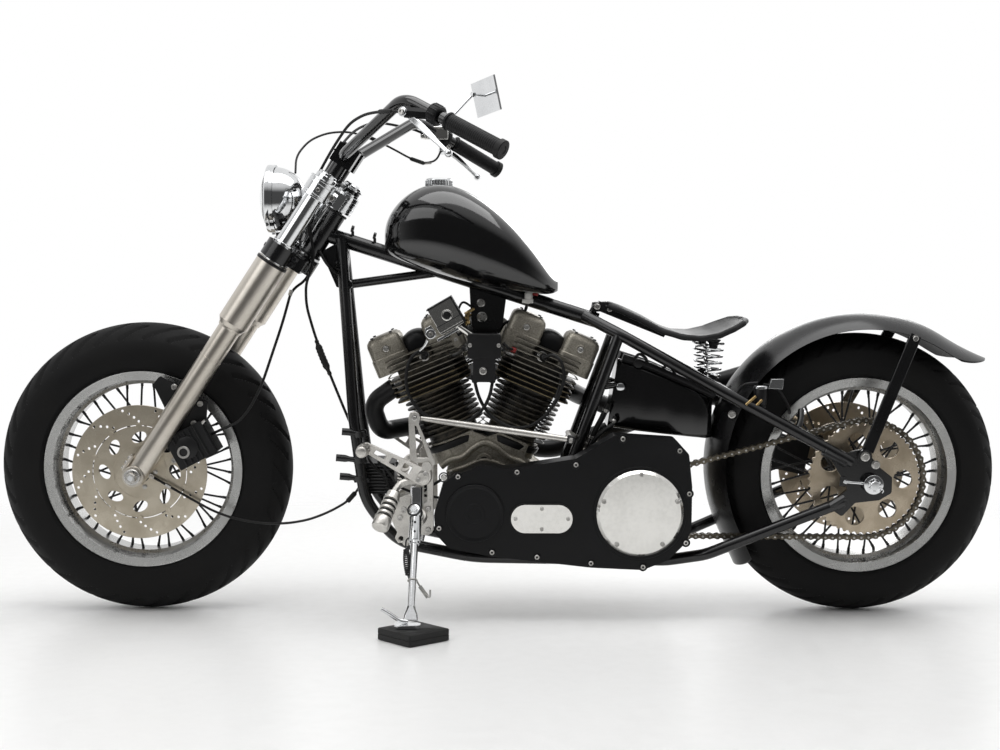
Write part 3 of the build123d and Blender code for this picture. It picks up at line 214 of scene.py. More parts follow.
class Finish:
    """One material, and the one way in which its nodes are added."""

    def __init__(self, name, **constants):
        self.material = bpy.data.materials.new(name)
        self.material.use_nodes = True
        self.tree = self.material.node_tree
        self.shader = self.tree.nodes["Principled BSDF"]
        for socket, value in constants.items():
            self.shader.inputs[socket.replace("_", " ")].default_value = value

    def node(self, kind, settings=(), sockets=()):
        return add_node(self.tree, "ShaderNode" + kind, settings, sockets)

    def value(self, kind, settings=(), sockets=(), output=0):
        return Value(self, self.node(kind, settings, sockets).outputs[output])

    def where(self):
        return self.value("TexCoord", output="Object")

    def xyz(self):
        split = self.node("SeparateXYZ", sockets={0: self.where()})
        return [Value(self, socket) for socket in split.outputs]

    def place(self, scale=(1, 1, 1)):
        return self.value("Mapping", sockets={"Vector": self.where(), "Scale": scale})

    def noise(self, scale, detail=3, stretch=(1, 1, 1)):
        return self.value("TexNoise", sockets={"Vector": self.place(stretch), "Scale": scale,
            "Detail": detail, "Roughness": 0.55})

    def between(self, value, low, high, to_low=0.0, to_high=1.0):
        return self.value("MapRange", {"interpolation_type": "SMOOTHSTEP"},
            {"Value": value, "From Min": low, "From Max": high, "To Min": to_low, "To Max": to_high})

    def mixed(self, factor, a, b):
        return self.value("Mix", {"data_type": "RGBA"}, {0: factor, 6: a if isinstance(a, Value) else (*a, 1),
            7: b if isinstance(b, Value) else (*b, 1)}, 2)

    def feed(self, **values):
        for socket, value in values.items():
            self.tree.links.new(value.socket, self.shader.inputs[socket.replace("_", " ")])
        return self

    def bump(self, height, strength, depth_mm):
        made = self.node("Bump", sockets={"Height": height, "Strength": strength,
            "Distance": depth_mm / 1000})
        self.tree.links.new(made.outputs[0], self.shader.inputs["Normal"])
        return self


FINISHES = {}


def keep(name, finish):
    FINISHES[name] = finish.material
    return finish


print("shader sums ready")

# %% [markdown]
# Black paint is the machine's main colour, from the glossy tank to the satin cases.
# All are nearly black underneath; what tells them apart is how wide the highlights
# spread, and a faint waviness that real paint has. Dust dulls the gloss in patches.

# %% Black paints
def black_paint(name, shade, rough_low, rough_high, coat, peel, specular=0.5):
    paint = Finish(name, Coat_Roughness=0.04, Specular_IOR_Level=specular)
    dust = paint.noise(9.0, 4)
    shine = paint.between(dust, 0.3, 0.75, rough_low, rough_high)
    tint = paint.mixed(paint.between(dust, 0.45, 0.8), shade, [c * 1.6 for c in shade])
    paint.shader.inputs["Coat Weight"].default_value = coat
    return keep(name, paint.feed(Base_Color=tint, Roughness=shine).bump(paint.noise(420.0, 2), peel, 0.15))


black_paint("tank paint", (0.0030, 0.0030, 0.0033), 0.10, 0.18, 0.7, 0.02)
black_paint("fender paint", (0.006, 0.006, 0.0065), 0.20, 0.30, 0.0, 0.02)
black_paint("frame paint", (0.0045, 0.0045, 0.005), 0.20, 0.32, 0.4, 0.04, 0.4)
black_paint("satin paint", (0.008, 0.008, 0.0085), 0.36, 0.50, 0.0, 0.10, 0.3)
black_paint("case paint", (0.0045, 0.0046, 0.0052), 0.36, 0.48, 0.0, 0.22, 0.22)
black_paint("seat lacquer", (0.013, 0.013, 0.0135), 0.44, 0.56, 0.0, 0.08, 0.2)
black_paint("cable sheath", (0.008, 0.008, 0.008), 0.40, 0.52, 0.0, 0.05, 0.3)
print("paints:", sorted(FINISHES))

# %% [markdown]
# Bare metals come next. Chrome is bright and sharp with a few smudges. The engine's
# cast metal has aged: brown-grey in the hollows, paler where hands and cloths have
# rubbed it, rough everywhere. The levers and pedals are machined and only brushed.

# %% Bare metals
def bare_metal(name, light, dark, rough_low, rough_high, grain, depth, stretch=(1, 1, 1), metallic=1.0):
    metal = Finish(name, Metallic=metallic)
    patches = metal.noise(14.0, 5)
    fine = metal.noise(grain, 3, stretch)
    tint = metal.mixed(metal.between(patches * 0.6 + fine * 0.4, 0.38, 0.66), light, dark)
    shine = metal.between(patches * 0.5 + fine * 0.5, 0.3, 0.7, rough_low, rough_high)
    return keep(name, metal.feed(Base_Color=tint, Roughness=shine).bump(fine, depth, 0.12))


bare_metal("chrome", (0.80, 0.81, 0.82), (0.70, 0.71, 0.72), 0.05, 0.13, 260.0, 0.008)
bare_metal("polished cover", (0.82, 0.81, 0.78), (0.75, 0.74, 0.71), 0.08, 0.15, 120.0, 0.02)
bare_metal("raw aluminium", (0.74, 0.72, 0.68), (0.52, 0.50, 0.47), 0.30, 0.46, 500.0, 0.10)
bare_metal("aged casting", (0.40, 0.375, 0.32), (0.19, 0.175, 0.145), 0.40, 0.62, 320.0, 0.30, metallic=0.85)
bare_metal("bronzed casting", (0.36, 0.29, 0.16), (0.13, 0.10, 0.05), 0.34, 0.55, 320.0, 0.30, metallic=0.9)
bare_metal("rim steel", (0.58, 0.58, 0.57), (0.50, 0.50, 0.49), 0.16, 0.30, 300.0, 0.04)
bare_metal("zinc screw", (0.58, 0.57, 0.55), (0.38, 0.37, 0.35), 0.22, 0.40, 400.0, 0.06)
bare_metal("black screw", (0.035, 0.035, 0.037), (0.018, 0.018, 0.019), 0.28, 0.42, 400.0, 0.06, metallic=0.6)
bare_metal("brass", (0.58, 0.42, 0.20), (0.36, 0.25, 0.11), 0.18, 0.36, 300.0, 0.05)
bare_metal("oiled chain", (0.17, 0.15, 0.115), (0.05, 0.043, 0.034), 0.30, 0.55, 260.0, 0.15, metallic=0.9)
# Near-black with brown worn patches: black paint on the barrels, and painted shade on the bare heads, their
# upper fins and the plug pockets.
bare_metal("rubbed black and painted shade", (0.018, 0.0175, 0.016), (0.11, 0.095, 0.07), 0.38, 0.60, 90.0, 0.18, metallic=0.5)
print("finishes so far:", len(FINISHES))

# %% [markdown]
# The fork legs are turned steel with a warm tinge, brushed round their length. The
# discs and the sprocket are turned too, about their axles, so their marks are rings:
# a distance from the axle feeds a sine. The tyres use the same distance for the
# moulded ribs on their walls.

# %% Turned and moulded finishes
def brushed_fork():
    steel = Finish("fork steel", Metallic=1.0)
    along = steel.value("Mapping", sockets={"Vector": steel.where(), "Rotation": (0, -RAKE, 0),
        "Scale": (6, 6, 900)})
    lines = steel.value("TexNoise", sockets={"Vector": along, "Scale": 1.0, "Detail": 2})
    stain = steel.noise(7.0, 4)
    tint = steel.mixed(steel.between(lines * 0.12 + stain * 0.88, 0.30, 0.72), (0.66, 0.62, 0.56),
        (0.53, 0.49, 0.43))
    shine = steel.between(lines, 0.3, 0.7, 0.28, 0.36)
    return keep("fork steel", steel.feed(Base_Color=tint, Roughness=shine).bump(lines, 0.03, 0.1))


TURNING_MARKS, WALL_RIBS = 5200, 2600   # radians of a sine, per metre from the axle


def round_axle(finish, axle):
    """Distance from a wheel's axle line, in metres."""
    centre = stand((axle[0], 0, axle[1]))
    dx, _, dz = (v - c for v, c in zip(finish.xyz(), centre))
    return (dx * dx + dz * dz) ** 0.5


def turned_metal(name, axle, light, dark):
    metal = Finish(name, Metallic=1.0)
    rings = (round_axle(metal, axle) * TURNING_MARKS).sine() * 0.5 + 0.5
    stain = metal.noise(22.0, 4)
    tint = metal.mixed(metal.between(stain * 0.75 + rings * 0.25, 0.35, 0.68), light, dark)
    shine = metal.between(stain * 0.6 + rings * 0.4, 0.2, 0.8, 0.26, 0.44)
    return keep(name, metal.feed(Base_Color=tint, Roughness=shine).bump(rings, 0.12, 0.05))


def tyre_rubber(name, axle, bead, tread):
    rubber = Finish(name, Specular_IOR_Level=0.18)
    span = round_axle(rubber, axle)
    wall = rubber.between(span, bead, bead + 0.004) * (1.0 - rubber.between(span, tread - 0.016,
        tread - 0.012))
    ribs = ((span * WALL_RIBS).sine() * 0.5 + 0.5) * wall
    bloom = rubber.noise(11.0, 4)
    tint = rubber.mixed(rubber.between(bloom * 0.8 + ribs * 0.2, 0.35, 0.75), (0.0045, 0.0045, 0.0048),
        (0.010, 0.0098, 0.0095))
    shine = rubber.between(bloom, 0.3, 0.7, 0.58, 0.76)
    return keep(name, rubber.feed(Base_Color=tint, Roughness=shine).bump(ribs * 0.5 + rubber.noise(500.0,
        2) * 0.5, 0.25, 0.3))


brushed_fork()
turned_metal("front disc metal", FRONT_AXLE, (0.58, 0.525, 0.43), (0.42, 0.37, 0.29))
turned_metal("rear disc metal", REAR_AXLE, (0.62, 0.53, 0.41), (0.40, 0.33, 0.24))
tyre_rubber("front tyre rubber", FRONT_AXLE, 0.222, 0.3208)
tyre_rubber("rear tyre rubber", REAR_AXLE, 0.222, 0.3128)
print("finishes so far:", len(FINISHES))

# %% [markdown]
# A few small ones remain: moulded rubber, clear glass, silvered glass, a red
# sleeve, white enamel and the floor, which fades out into the room with distance.

# %% Small finishes
def plain_finish(name, low, high, rough_low, rough_high, **constants):
    made = Finish(name, **constants)
    mottle = made.noise(30.0, 4)
    tint = made.mixed(made.between(mottle, 0.35, 0.7), low, high)
    return keep(name,
        made.feed(Base_Color=tint, Roughness=made.between(mottle, 0.3, 0.7, rough_low, rough_high)))


plain_finish("moulded rubber", (0.009, 0.009, 0.009), (0.018, 0.018, 0.0175), 0.48, 0.62,
    Specular_IOR_Level=0.3)
plain_finish("lamp glass", (0.93, 0.94, 0.95), (0.88, 0.90, 0.91), 0.01, 0.05, Transmission_Weight=1.0,
    IOR=1.42)
plain_finish("silvered glass", (0.90, 0.91, 0.92), (0.84, 0.85, 0.86), 0.01, 0.04, Metallic=1.0)
plain_finish("red sleeve", (0.30, 0.012, 0.010), (0.20, 0.008, 0.008), 0.35, 0.5)
plain_finish("white enamel", (0.70, 0.69, 0.66), (0.60, 0.59, 0.56), 0.25, 0.4)


def fading_floor():
    """Pale and slightly glossy near the machine; further out it gives way to the room."""
    floor = plain_finish("studio floor", (0.90, 0.90, 0.893), (0.885, 0.885, 0.878), 0.30, 0.42)
    x, y, _ = floor.xyz()
    gone = floor.between((x * x * 0.45 + y * y) ** 0.5, 0.9, 2.6)
    blend = floor.node("MixShader", sockets={0: gone})
    clear = floor.node("BsdfTransparent")
    floor.tree.links.new(floor.shader.outputs[0], blend.inputs[1])
    floor.tree.links.new(clear.outputs[0], blend.inputs[2])
    floor.tree.links.new(blend.outputs[0], floor.tree.nodes["Material Output"].inputs[0])


fading_floor()

# %% [markdown]
# Each solid of the frame already stands where it belongs, so it only needs its
# finish. The table names the solids that keep their own shape.

# %% Finishes on the solids
WEARS = {
    "tank paint": "fuel_tank handlebar",
    "fender paint": "rear_fender",
    "frame paint": "main_frame cradle seat_bracket fender_struts lower_yoke bar_risers stand_pad",
    "satin paint": "exhaust_pipes regulator rear_caliper front_caliper coil",
    "case paint": "primary_cover",
    "seat lacquer": "seat",
    "cable sheath": "brake_hose clutch_cable throttle_cable speed_cable plug_leads",
    "chrome": "filler_cap fork_tubes upper_yoke headlight air_cleaner key_box levers mirror "
              "front_axle rear_axle side_stand",
    "polished cover": "derby_cover inspection_cover",
    "raw aluminium": "forward_controls shift_linkage stand_bracket",
    "aged casting": "crankcase gearbox rocker_boxes",
    # On the cylinder heads this dark finish is painted shade for the hollows between the fins.
    "rubbed black and painted shade": "cylinders cylinder_heads",
    "rim steel": "seat_springs",
    "fork steel": "fork_legs fork_sleeves",
    "front disc metal": "front_disc",
    "rear disc metal": "rear_disc rear_sprocket",
    "front tyre rubber": "front_tyre",
    "rear tyre rubber": "rear_tyre",
    "oiled chain": "drive_chain",
    "lamp glass": "headlight_glass",
    "moulded rubber": "grips",
}
dressed = 0
for finish, names in WEARS.items():
    for name in names.split():
        for slot in frame["nodes"][name].material_slots:
            slot.material = FINISHES[finish]
        dressed += 1
print("solids with a finish:", dressed, "of", len(frame["nodes"]))

# %% [markdown]
# The floor is one wide pale sheet. It is stage, not part of the machine.

# %% Floor
FLOOR_REACH, FLOOR_Z = 14.0, -0.0006


def studio_floor():
    mesh = bpy.data.meshes.new("floor")
    corners = [(x * FLOOR_REACH, y * FLOOR_REACH, FLOOR_Z) for x, y in ((-1, -1), (1, -1), (1, 1), (-1, 1))]
    mesh.from_pydata(corners, [], [(0, 1, 2, 3)])
    mesh.materials.append(FINISHES["studio floor"])
    floor = in_scene("floor", mesh)
    print("floor:", floor.name)


studio_floor()

# %% [markdown]
# Pieces are gathered as faces in the upright machine's millimetres and set leaning
# only when they are finished. A shape can be turned about any line, drawn as a tube
# through points, or raised from a flat outline. Every finished piece gets its
# normals turned outwards, a finish, and the body of the machine that it rides on,
# and a narrow bevel that catches the light where one is asked for.

# %% Shapes
def unit(v):
    return Vector(v).normalized()


def angles(count, phase=0.0):
    """Equal angles round a circle; the phase is a share of one step."""
    return [2 * pi * (i + phase) / count for i in range(count)]


def ring_round(centre, u, v, radius, steps):
    return [Vector(centre) + (u * cos(a) + v * sin(a)) * radius for a in angles(steps)]


def square_to(axis, hint=UP):
    """Two directions square to an axis and to each other; the first leans to the hint."""
    axis, hint = unit(axis), Vector(hint)
    first = hint - axis * hint.dot(axis)
    if first.length < 0.05:
        first = Vector(BACK) - axis * axis.x
    first.normalize()
    return first, axis.cross(first)


class Shape:
    """Faces gathered for one piece, in upright millimetres."""

    def __init__(self):
        self.points, self.faces = [], []

    def join(self, a, b):
        n = len(a)
        self.faces += [(a[i], a[(i + 1) % n], b[(i + 1) % n], b[i]) for i in range(n)]

    def loft(self, rings, looped=False):
        """Skins closed rings in their order; the ends are capped unless the rings are looped."""
        ranges = []
        for ring in rings:
            start = len(self.points)
            self.points += ring
            ranges.append(range(start, len(self.points)))
        for a, b in zip(ranges, ranges[1:] + ranges[:1] if looped else ranges[1:]):
            self.join(a, b)
        if not looped:
            self.faces += [tuple(ranges[0]), tuple(ranges[-1])]
        return self

    def turned(self, foot, axis, profile, steps=32):
        """A closed solid turned about a line; its profile is (along, radius)."""
        axis = unit(axis)
        return self.loft([ring_round(Vector(foot) + axis * t, *square_to(axis), max(r, 0.01), steps)
            for t, r in profile])

    def hoop(self, centre, axis, section, steps=64):
        """A ring turned about a line from a closed section of (along, radius)."""
        axis = unit(axis)
        return self.loft([ring_round(Vector(centre) + axis * t, *square_to(axis), r, steps)
            for t, r in section], True)

    def tube(self, points, radius, steps=10):
        """A tube through points; the radius may be a list."""
        points = [Vector(p) for p in points]
        radii = radius if isinstance(radius, (list, tuple)) else [radius] * len(points)
        u, _ = square_to(points[1] - points[0])
        rings = []
        for i, p in enumerate(points):
            way = unit(points[min(i + 1, len(points) - 1)] - points[max(i - 1, 0)])
            u = unit(u - way * u.dot(way))
            rings.append(ring_round(p, u, way.cross(u), radii[i], steps))
        return self.loft(rings)

    def bent(self, points, radius, steps=10, between=6):
        """A tube that is rounded at its points."""
        return self.tube(rounded(points, between), radius, steps)

    def strap(self, points, sizes, width_way, corner=0.35):
        """A flattened bar through points; sizes are (width, thickness), the width along a given way."""
        points = [Vector(p) for p in points]
        rings = []
        for i, p in enumerate(points):
            way = unit(points[min(i + 1, len(points) - 1)] - points[max(i - 1, 0)])
            u = Vector(width_way)
            u = unit(u - way * u.dot(way))
            v = way.cross(u)
            w, t = (s / 2 for s in (sizes[i] if isinstance(sizes, list) else sizes))
            k = corner * min(w, t) * 2
            rings.append([p + u * a + v * b for a, b in ((w, t - k), (w - k, t), (k - w, t), (-w, t - k),
                (-w, k - t), (k - w, -t), (w - k, -t), (w, k - t))])
        return self.loft(rings)

    def both_sides(self):
        """Adds the mirror image on the machine's other side."""
        start = len(self.points)
        self.points += [vec(p.x, -p.y, p.z) for p in self.points]
        self.faces += [tuple(start + i for i in face) for face in self.faces]
        return self

    def raised(self, outline, origin, u, v, thickness):
        """A flat outline in the plane of u and v, raised along their normal."""
        origin, u, v = Vector(origin), unit(u), unit(v)
        lift = u.cross(v) * thickness
        flat = [origin + u * a + v * b for a, b in outline]
        return self.loft([flat, [p + lift for p in flat]])

    def box(self, centre, size, u=BACK, v=LEFT):
        a, b, c = (s / 2 for s in size)
        w = unit(u).cross(unit(v))
        return self.raised([(-a, -b), (a, -b), (a, b), (-a, b)], Vector(centre) - w * c, u, v, 2 * c)

    def piece(self, name, finish, body="frame", bevel=0.0, smooth=40.0, instead=""):
        mesh = bpy.data.meshes.new(name)
        mesh.from_pydata([stand(p) for p in self.points], [], self.faces)
        return finished(mesh, name, finish, body, bevel, smooth, instead)


def finished(mesh, name, finish, body, bevel=0.0, smooth=40.0, instead=""):
    """Cleans a mesh, gives it its finish, its body, and the solid that it stands for."""
    work = bmesh.new()
    work.from_mesh(mesh)
    bmesh.ops.remove_doubles(work, verts=work.verts, dist=2e-6)
    bmesh.ops.recalc_face_normals(work, faces=work.faces)
    work.to_mesh(mesh)
    work.free()
    mesh.shade_smooth()
    mesh.set_sharp_from_angle(angle=radians(smooth))
    mesh.materials.clear()
    mesh.materials.append(FINISHES[finish])
    made = in_scene(name.replace(" ", "_"), mesh)
    if bevel:
        edge = made.modifiers.new("edge", "BEVEL")
        edge.width, edge.segments, edge.limit_method = bevel / 1000, 2, "ANGLE"
        edge.angle_limit = radians(38)
    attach(made, body)
    if instead:
        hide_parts(*instead.split())
    return made


def rounded(points, steps=6):
    """A smooth line through points."""
    points = [Vector(p) for p in points]
    ends = [2 * points[0] - points[1], *points, 2 * points[-1] - points[-2]]
    line = []
    for a, b, c, d in zip(ends, ends[1:], ends[2:], ends[3:]):
        for i in range(steps):
            t = i / steps
            line.append(0.5 * (2 * b + (c - a) * t + (2 * a - 5 * b + 4 * c - d) * t * t +
                (3 * b - a - 3 * c + d) * t ** 3))
    return line + [points[-1]]


print("shape tools ready")

# %% [markdown]
# Discs, sprockets and pierced plates are cut from sheet. A flat curve with several
# closed outlines fills the space between them, holes and all, and its extrusion is
# the sheet's thickness, so one call stands for the laser cutter.

# %% Sheet cutter
def circle(cx, cy, r, steps=24):
    return [(cx + r * cos(a), cy + r * sin(a)) for a in angles(steps)]


def lens(cx, cy, along, wide, turn, steps=20):
    c, s = cos(turn), sin(turn)
    return [(cx + along * cos(a) * c - wide * sin(a) * s, cy + along * cos(a) * s + wide * sin(a) * c)
        for a in angles(steps)]


def cut_sheet(outlines, origin, u, v, thickness, edge=0.25):
    """A mesh cut from sheet: outlines in the plane of u and v, centred on it."""
    curve = bpy.data.curves.new("sheet", "CURVE")
    curve.dimensions, curve.fill_mode = "2D", "BOTH"
    curve.extrude, curve.bevel_depth, curve.bevel_resolution = thickness / 2 - edge, edge, 0
    for outline in outlines:
        spline = curve.splines.new("POLY")
        spline.points.add(len(outline) - 1)
        for point, (a, b) in zip(spline.points, outline):
            point.co = (a, b, 0, 1)
        spline.use_cyclic_u = True
    flat = in_scene("sheet", curve)
    mesh = bpy.data.meshes.new_from_object(flat.evaluated_get(bpy.context.evaluated_depsgraph_get()))
    bpy.data.objects.remove(flat)
    bpy.data.curves.remove(curve)
    origin, u, v = Vector(origin), unit(u), unit(v)
    w = u.cross(v)
    for point in mesh.vertices:
        a, b, c = point.co
        point.co = stand(origin + u * a + v * b + w * c)
    return mesh


print("sheet cutter ready")

# %% [markdown]
# What repeats is placed by Geometry Nodes: one tree copies a small unit to every
# point of a cloud, turned and sized by the point's own attributes, then realises
# the copies and gives them their finish. The unit and the overall stretch are the
# tree's inputs, so screws, spoke nipples and chain plates share it.

# %% Copies on points
def copying_tree():
    tree = bpy.data.node_groups.new("copies on points", "GeometryNodeTree")
    for name, kind in (("Points", "Geometry"), ("Unit", "Object"), ("Stretch", "Float"),
            ("Finish", "Material")):
        tree.interface.new_socket(name=name, in_out="INPUT", socket_type="NodeSocket" + kind)
    tree.interface.new_socket(name="Copies", in_out="OUTPUT", socket_type="NodeSocketGeometry")
    given, cloud, info, angle, grown, place, real, paint, out = (tree.nodes.new(kind)
        for kind in ("NodeGroupInput", "GeometryNodeMeshToPoints", "GeometryNodeObjectInfo",
        "FunctionNodeEulerToRotation", "ShaderNodeVectorMath", "GeometryNodeInstanceOnPoints",
        "GeometryNodeRealizeInstances", "GeometryNodeSetMaterial", "NodeGroupOutput"))
    turn, size = (add_node(tree, "GeometryNodeInputNamedAttribute", {"data_type": "FLOAT_VECTOR"},
        {"Name": name}) for name in ("turn", "size"))
    grown.operation = "SCALE"
    for source, output, target, into in ((given, "Points", cloud, "Mesh"), (given, "Unit", info, "Object"),
            (cloud, 0, place, "Points"), (info, "Geometry", place, "Instance"), (turn, "Attribute", angle, 0),
            (angle, 0, place, "Rotation"), (size, "Attribute", grown, 0), (given, "Stretch", grown, "Scale"),
            (grown, 0, place, "Scale"), (place, 0, real, 0), (real, 0, paint, "Geometry"),
            (given, "Finish", paint, "Material"), (paint, 0, out, 0)):
        tree.links.new(source.outputs[output], target.inputs[into])
    return tree


COPYING = copying_tree()


def grown_by(tree, carrier, name, finish, body, **inputs):
    """Runs a tree on a carrier object and keeps the result as a plain piece."""
    grow = carrier.modifiers.new("grow", "NODES")
    grow.node_group = tree
    named = {item.name: item.identifier for item in tree.interface.items_tree if item.in_out == "INPUT"}
    for key, value in {**inputs, "Finish": FINISHES[finish]}.items():
        grow[named[key]] = value
    bpy.context.collection.objects.link(carrier)
    mesh = bpy.data.meshes.new_from_object(carrier.evaluated_get(bpy.context.evaluated_depsgraph_get()))
    bpy.data.objects.remove(carrier)
    for layer in [a.name for a in mesh.attributes if a.name in ("turn", "size")]:
        mesh.attributes.remove(mesh.attributes[layer])
    return finished(mesh, name, finish, body)


def way_in_row(v):
    return stand(Vector(v) * 1000) - stand((0, 0, 0))


def copies(name, unit_form, spots, finish="zinc screw", body="frame", stretch=1.0):
    """Copies of a unit at (point, its z, size) or (point, its z, size, its x), in upright terms."""
    cloud = bpy.data.meshes.new(name)
    cloud.from_pydata([stand(spot[0]) for spot in spots], [], [])
    turn = cloud.attributes.new("turn", "FLOAT_VECTOR", "POINT")
    size = cloud.attributes.new("size", "FLOAT_VECTOR", "POINT")
    for i, (_, z_way, grow, *x_way) in enumerate(spots):
        z = way_in_row(z_way).normalized()
        x = way_in_row(*x_way) if x_way else z.orthogonal()
        x = (x - z * x.dot(z)).normalized()
        turn.data[i].vector = Matrix((x, z.cross(x), z)).transposed().to_euler()
        size.data[i].vector = grow if isinstance(grow, tuple) else (grow, grow, grow)
    model = in_scene("unit", unit_form)
    grown_by(COPYING, bpy.data.objects.new(name, cloud), name, finish, body, Unit=model, Stretch=stretch)
    bpy.data.objects.remove(model)
    print(name, "copies:", len(spots))


def unit_mesh(name, shape):
    """A small model in its own millimetres, kept in metres."""
    mesh = bpy.data.meshes.new(name)
    mesh.from_pydata([p / 1000 for p in shape.points], [], shape.faces)
    work = bmesh.new()
    work.from_mesh(mesh)
    bmesh.ops.recalc_face_normals(work, faces=work.faces)
    work.to_mesh(mesh)
    work.free()
    mesh.shade_smooth()
    mesh.set_sharp_from_angle(angle=radians(35))
    return mesh


HEX_SCREW = unit_mesh("hex screw", Shape().turned((0, 0, 0), UP, [(0, 1.28), (0.16, 1.28), (0.2, 1.2)],
    20).turned((0, 0, 0.15), UP, [(0, 1), (0.55, 1), (0.68, 0.84)], 6))
SOCKET_SCREW = unit_mesh("socket screw",
    Shape().turned((0, 0, 0), UP, [(0, 1), (0.62, 1), (0.75, 0.86), (0.75, 0.5), (0.3, 0.48)], 16))
print("screw units:", len(HEX_SCREW.polygons), "and", len(SOCKET_SCREW.polygons), "faces")

# %% [markdown]
# The tyres are round-shouldered and fat. A tread is a rule, not a drawing: the
# cross-section is swept round the axle and every point is pulled in where a
# sweeping groove passes. Grooves leave the crown, curve back over the shoulder and
# stop at the wall, and the left half is half a step behind the right.

# %% Tyres
def tread_depth(turns, across, pitch_count):
    """How far the surface is pulled in: 0 to 1, at a place round and across the tread."""
    side = abs(across)
    if side > 0.97:
        return 0
    phase = turns * pitch_count + (0.5 if across > 0 else 0) - 1.55 * side ** 1.7
    cell = phase - math.floor(phase)
    reach = 0.12 if math.floor(phase) % 2 else 0.42
    long_cut = 1 if reach < side < 0.93 else 0
    width = 0.09 + 0.07 * side
    return long_cut * max(0, 1 - (abs(cell - 0.5) / width) ** 4)


def tyre(name, axle, radius, width, pitch_count, finish, body, node):
    half, flange = width / 2, 217
    belly, shoulder = flange + 0.30 * (radius - flange), flange + 0.62 * (radius - flange)
    wall = [(204.5, 50), (218.2, 50.5), (219.4, 0.855 * half), (flange + 8, 0.935 * half),
        (belly, 0.995 * half), (flange + 0.46 * (radius - flange), 0.985 * half), (shoulder, 0.925 * half)]
    crown_steps = 44
    sagitta = radius - shoulder
    chord = 0.925 * half
    ball = (chord ** 2 + sagitta ** 2) / (2 * sagitta)
    crown = []
    for i in range(1, crown_steps):
        left = chord - 2 * chord * i / crown_steps
        crown.append((radius - ball + math.sqrt(ball ** 2 - left ** 2), left))
    section = wall + crown + [(r, -l) for r, l in reversed(wall)]
    around = 600
    points, faces, rows = [], [], len(section)
    for i in range(around):
        a = 2 * pi * i / around
        for j, (r, left) in enumerate(section):
            if len(wall) - 2 < j < rows - len(wall) + 1:
                r -= 5.5 * tread_depth(i / around, left / chord, pitch_count)
            points.append(stand((axle[0] + r * cos(a), left, axle[1] + r * sin(a))))
    for i in range(around):
        k = (i + 1) % around
        faces += [(i * rows + j, k * rows + j, k * rows + (j + 1) % rows, i * rows + (j + 1) % rows)
            for j in range(rows)]
    mesh = bpy.data.meshes.new(name)
    mesh.from_pydata(points, [], faces)
    finished(mesh, name, finish, body, smooth=32, instead=node)
    print(name, "faces:", len(mesh.polygons))


tyre("front tread", FRONT_AXLE, 320.8, 140, 34, "front tyre rubber", "front_wheel", "front_tyre")
tyre("rear tread", REAR_AXLE, 312.8, 146, 40, "rear tyre rubber", "rear_wheel", "rear_tyre")

# %% [markdown]
# The wheels are laced with black spokes into bright stepped rims. Rim, hub and
# spokes are one solid, so the finish splits them by their distance from the axle.
# The nipples and three rolled beads on each side of the rim are added pieces.

# %% Wheels
def laced_wheel(name, axle):
    metal = Finish(name)
    bright = metal.between(round_axle(metal, axle), 0.1835, 0.1850)
    fine = metal.noise(300, 3)
    patches = metal.noise(12, 4)
    steel = metal.mixed(metal.between(patches, 0.35, 0.65), (0.55, 0.55, 0.54), (0.49, 0.49, 0.48))
    tint = metal.mixed(bright, (0.012, 0.012, 0.013), steel)
    shine = metal.between(fine * 0.4 + patches * 0.6, 0.3, 0.7, 0.20, 0.36)
    return keep(name, metal.feed(Base_Color=tint, Metallic=bright * 0.95 + 0.05, Roughness=shine))


for finish, node, axle in (("front laced wheel", "front_wheel", FRONT_AXLE),
        ("rear laced wheel", "rear_wheel", REAR_AXLE)):
    laced_wheel(finish, axle)
    for slot in frame["nodes"][node].material_slots:
        slot.material = FINISHES[finish]

NIPPLE = unit_mesh("nipple", Shape().turned((0, 0, 0), UP, [(0, 3.4), (9, 3.4), (10, 2.6), (17, 2.3)], 6))


def wheel_trim(name, axle, spin, body):
    spots, shape = [], Shape()
    for i in range(40):
        side = 1 if i % 2 else -1
        back = 52 if (i // 2) % 2 else -52
        head, foot = radians(spin + i * 9), radians(spin + i * 9 + back)
        rim_end = vec(axle[0] + 187.5 * cos(head), side * 9, axle[1] + 187.5 * sin(head))
        hub_end = vec(axle[0] + 34 * cos(foot), side * 42, axle[1] + 34 * sin(foot))
        spots.append((rim_end, hub_end - rim_end, 1))
    copies(name + " nipples", NIPPLE, spots, "black screw", body)
    centre = vec(axle[0], 0, axle[1])
    for side in (1, -1):
        for left, r, thick in ((56.5, 215.5, 1.4), (30.5, 199, 1.6), (40, 200.5, 0.9)):
            section = [(side * left + thick * cos(a), r + thick * sin(a)) for a in angles(8)]
            shape.hoop(centre, LEFT, section, 120)
    shape.piece(name + " rolled beads", "rim steel", body)


wheel_trim("front wheel", FRONT_AXLE, 4.5, "front_wheel")
wheel_trim("rear wheel", REAR_AXLE, 0, "rear_wheel")

# %% [markdown]
# The front brake disc is two rings: a drilled rotor floats on a carrier with lens
# windows, held by buttons. The rear wheel has a drilled disc on the right and on
# the left a sprocket, with round lightening holes and a tooth for every link.

# %% Discs and sprocket
def drilled_groups(count, r_first, r_step, holes, sweep, hole_r, phase=0.0):
    out = []
    for g in range(count):
        for k in range(holes):
            a = phase + 2 * pi * g / count + sweep * k
            r = r_first + r_step * k
            out.append(circle(r * cos(a), r * sin(a), hole_r, 12))
    return out


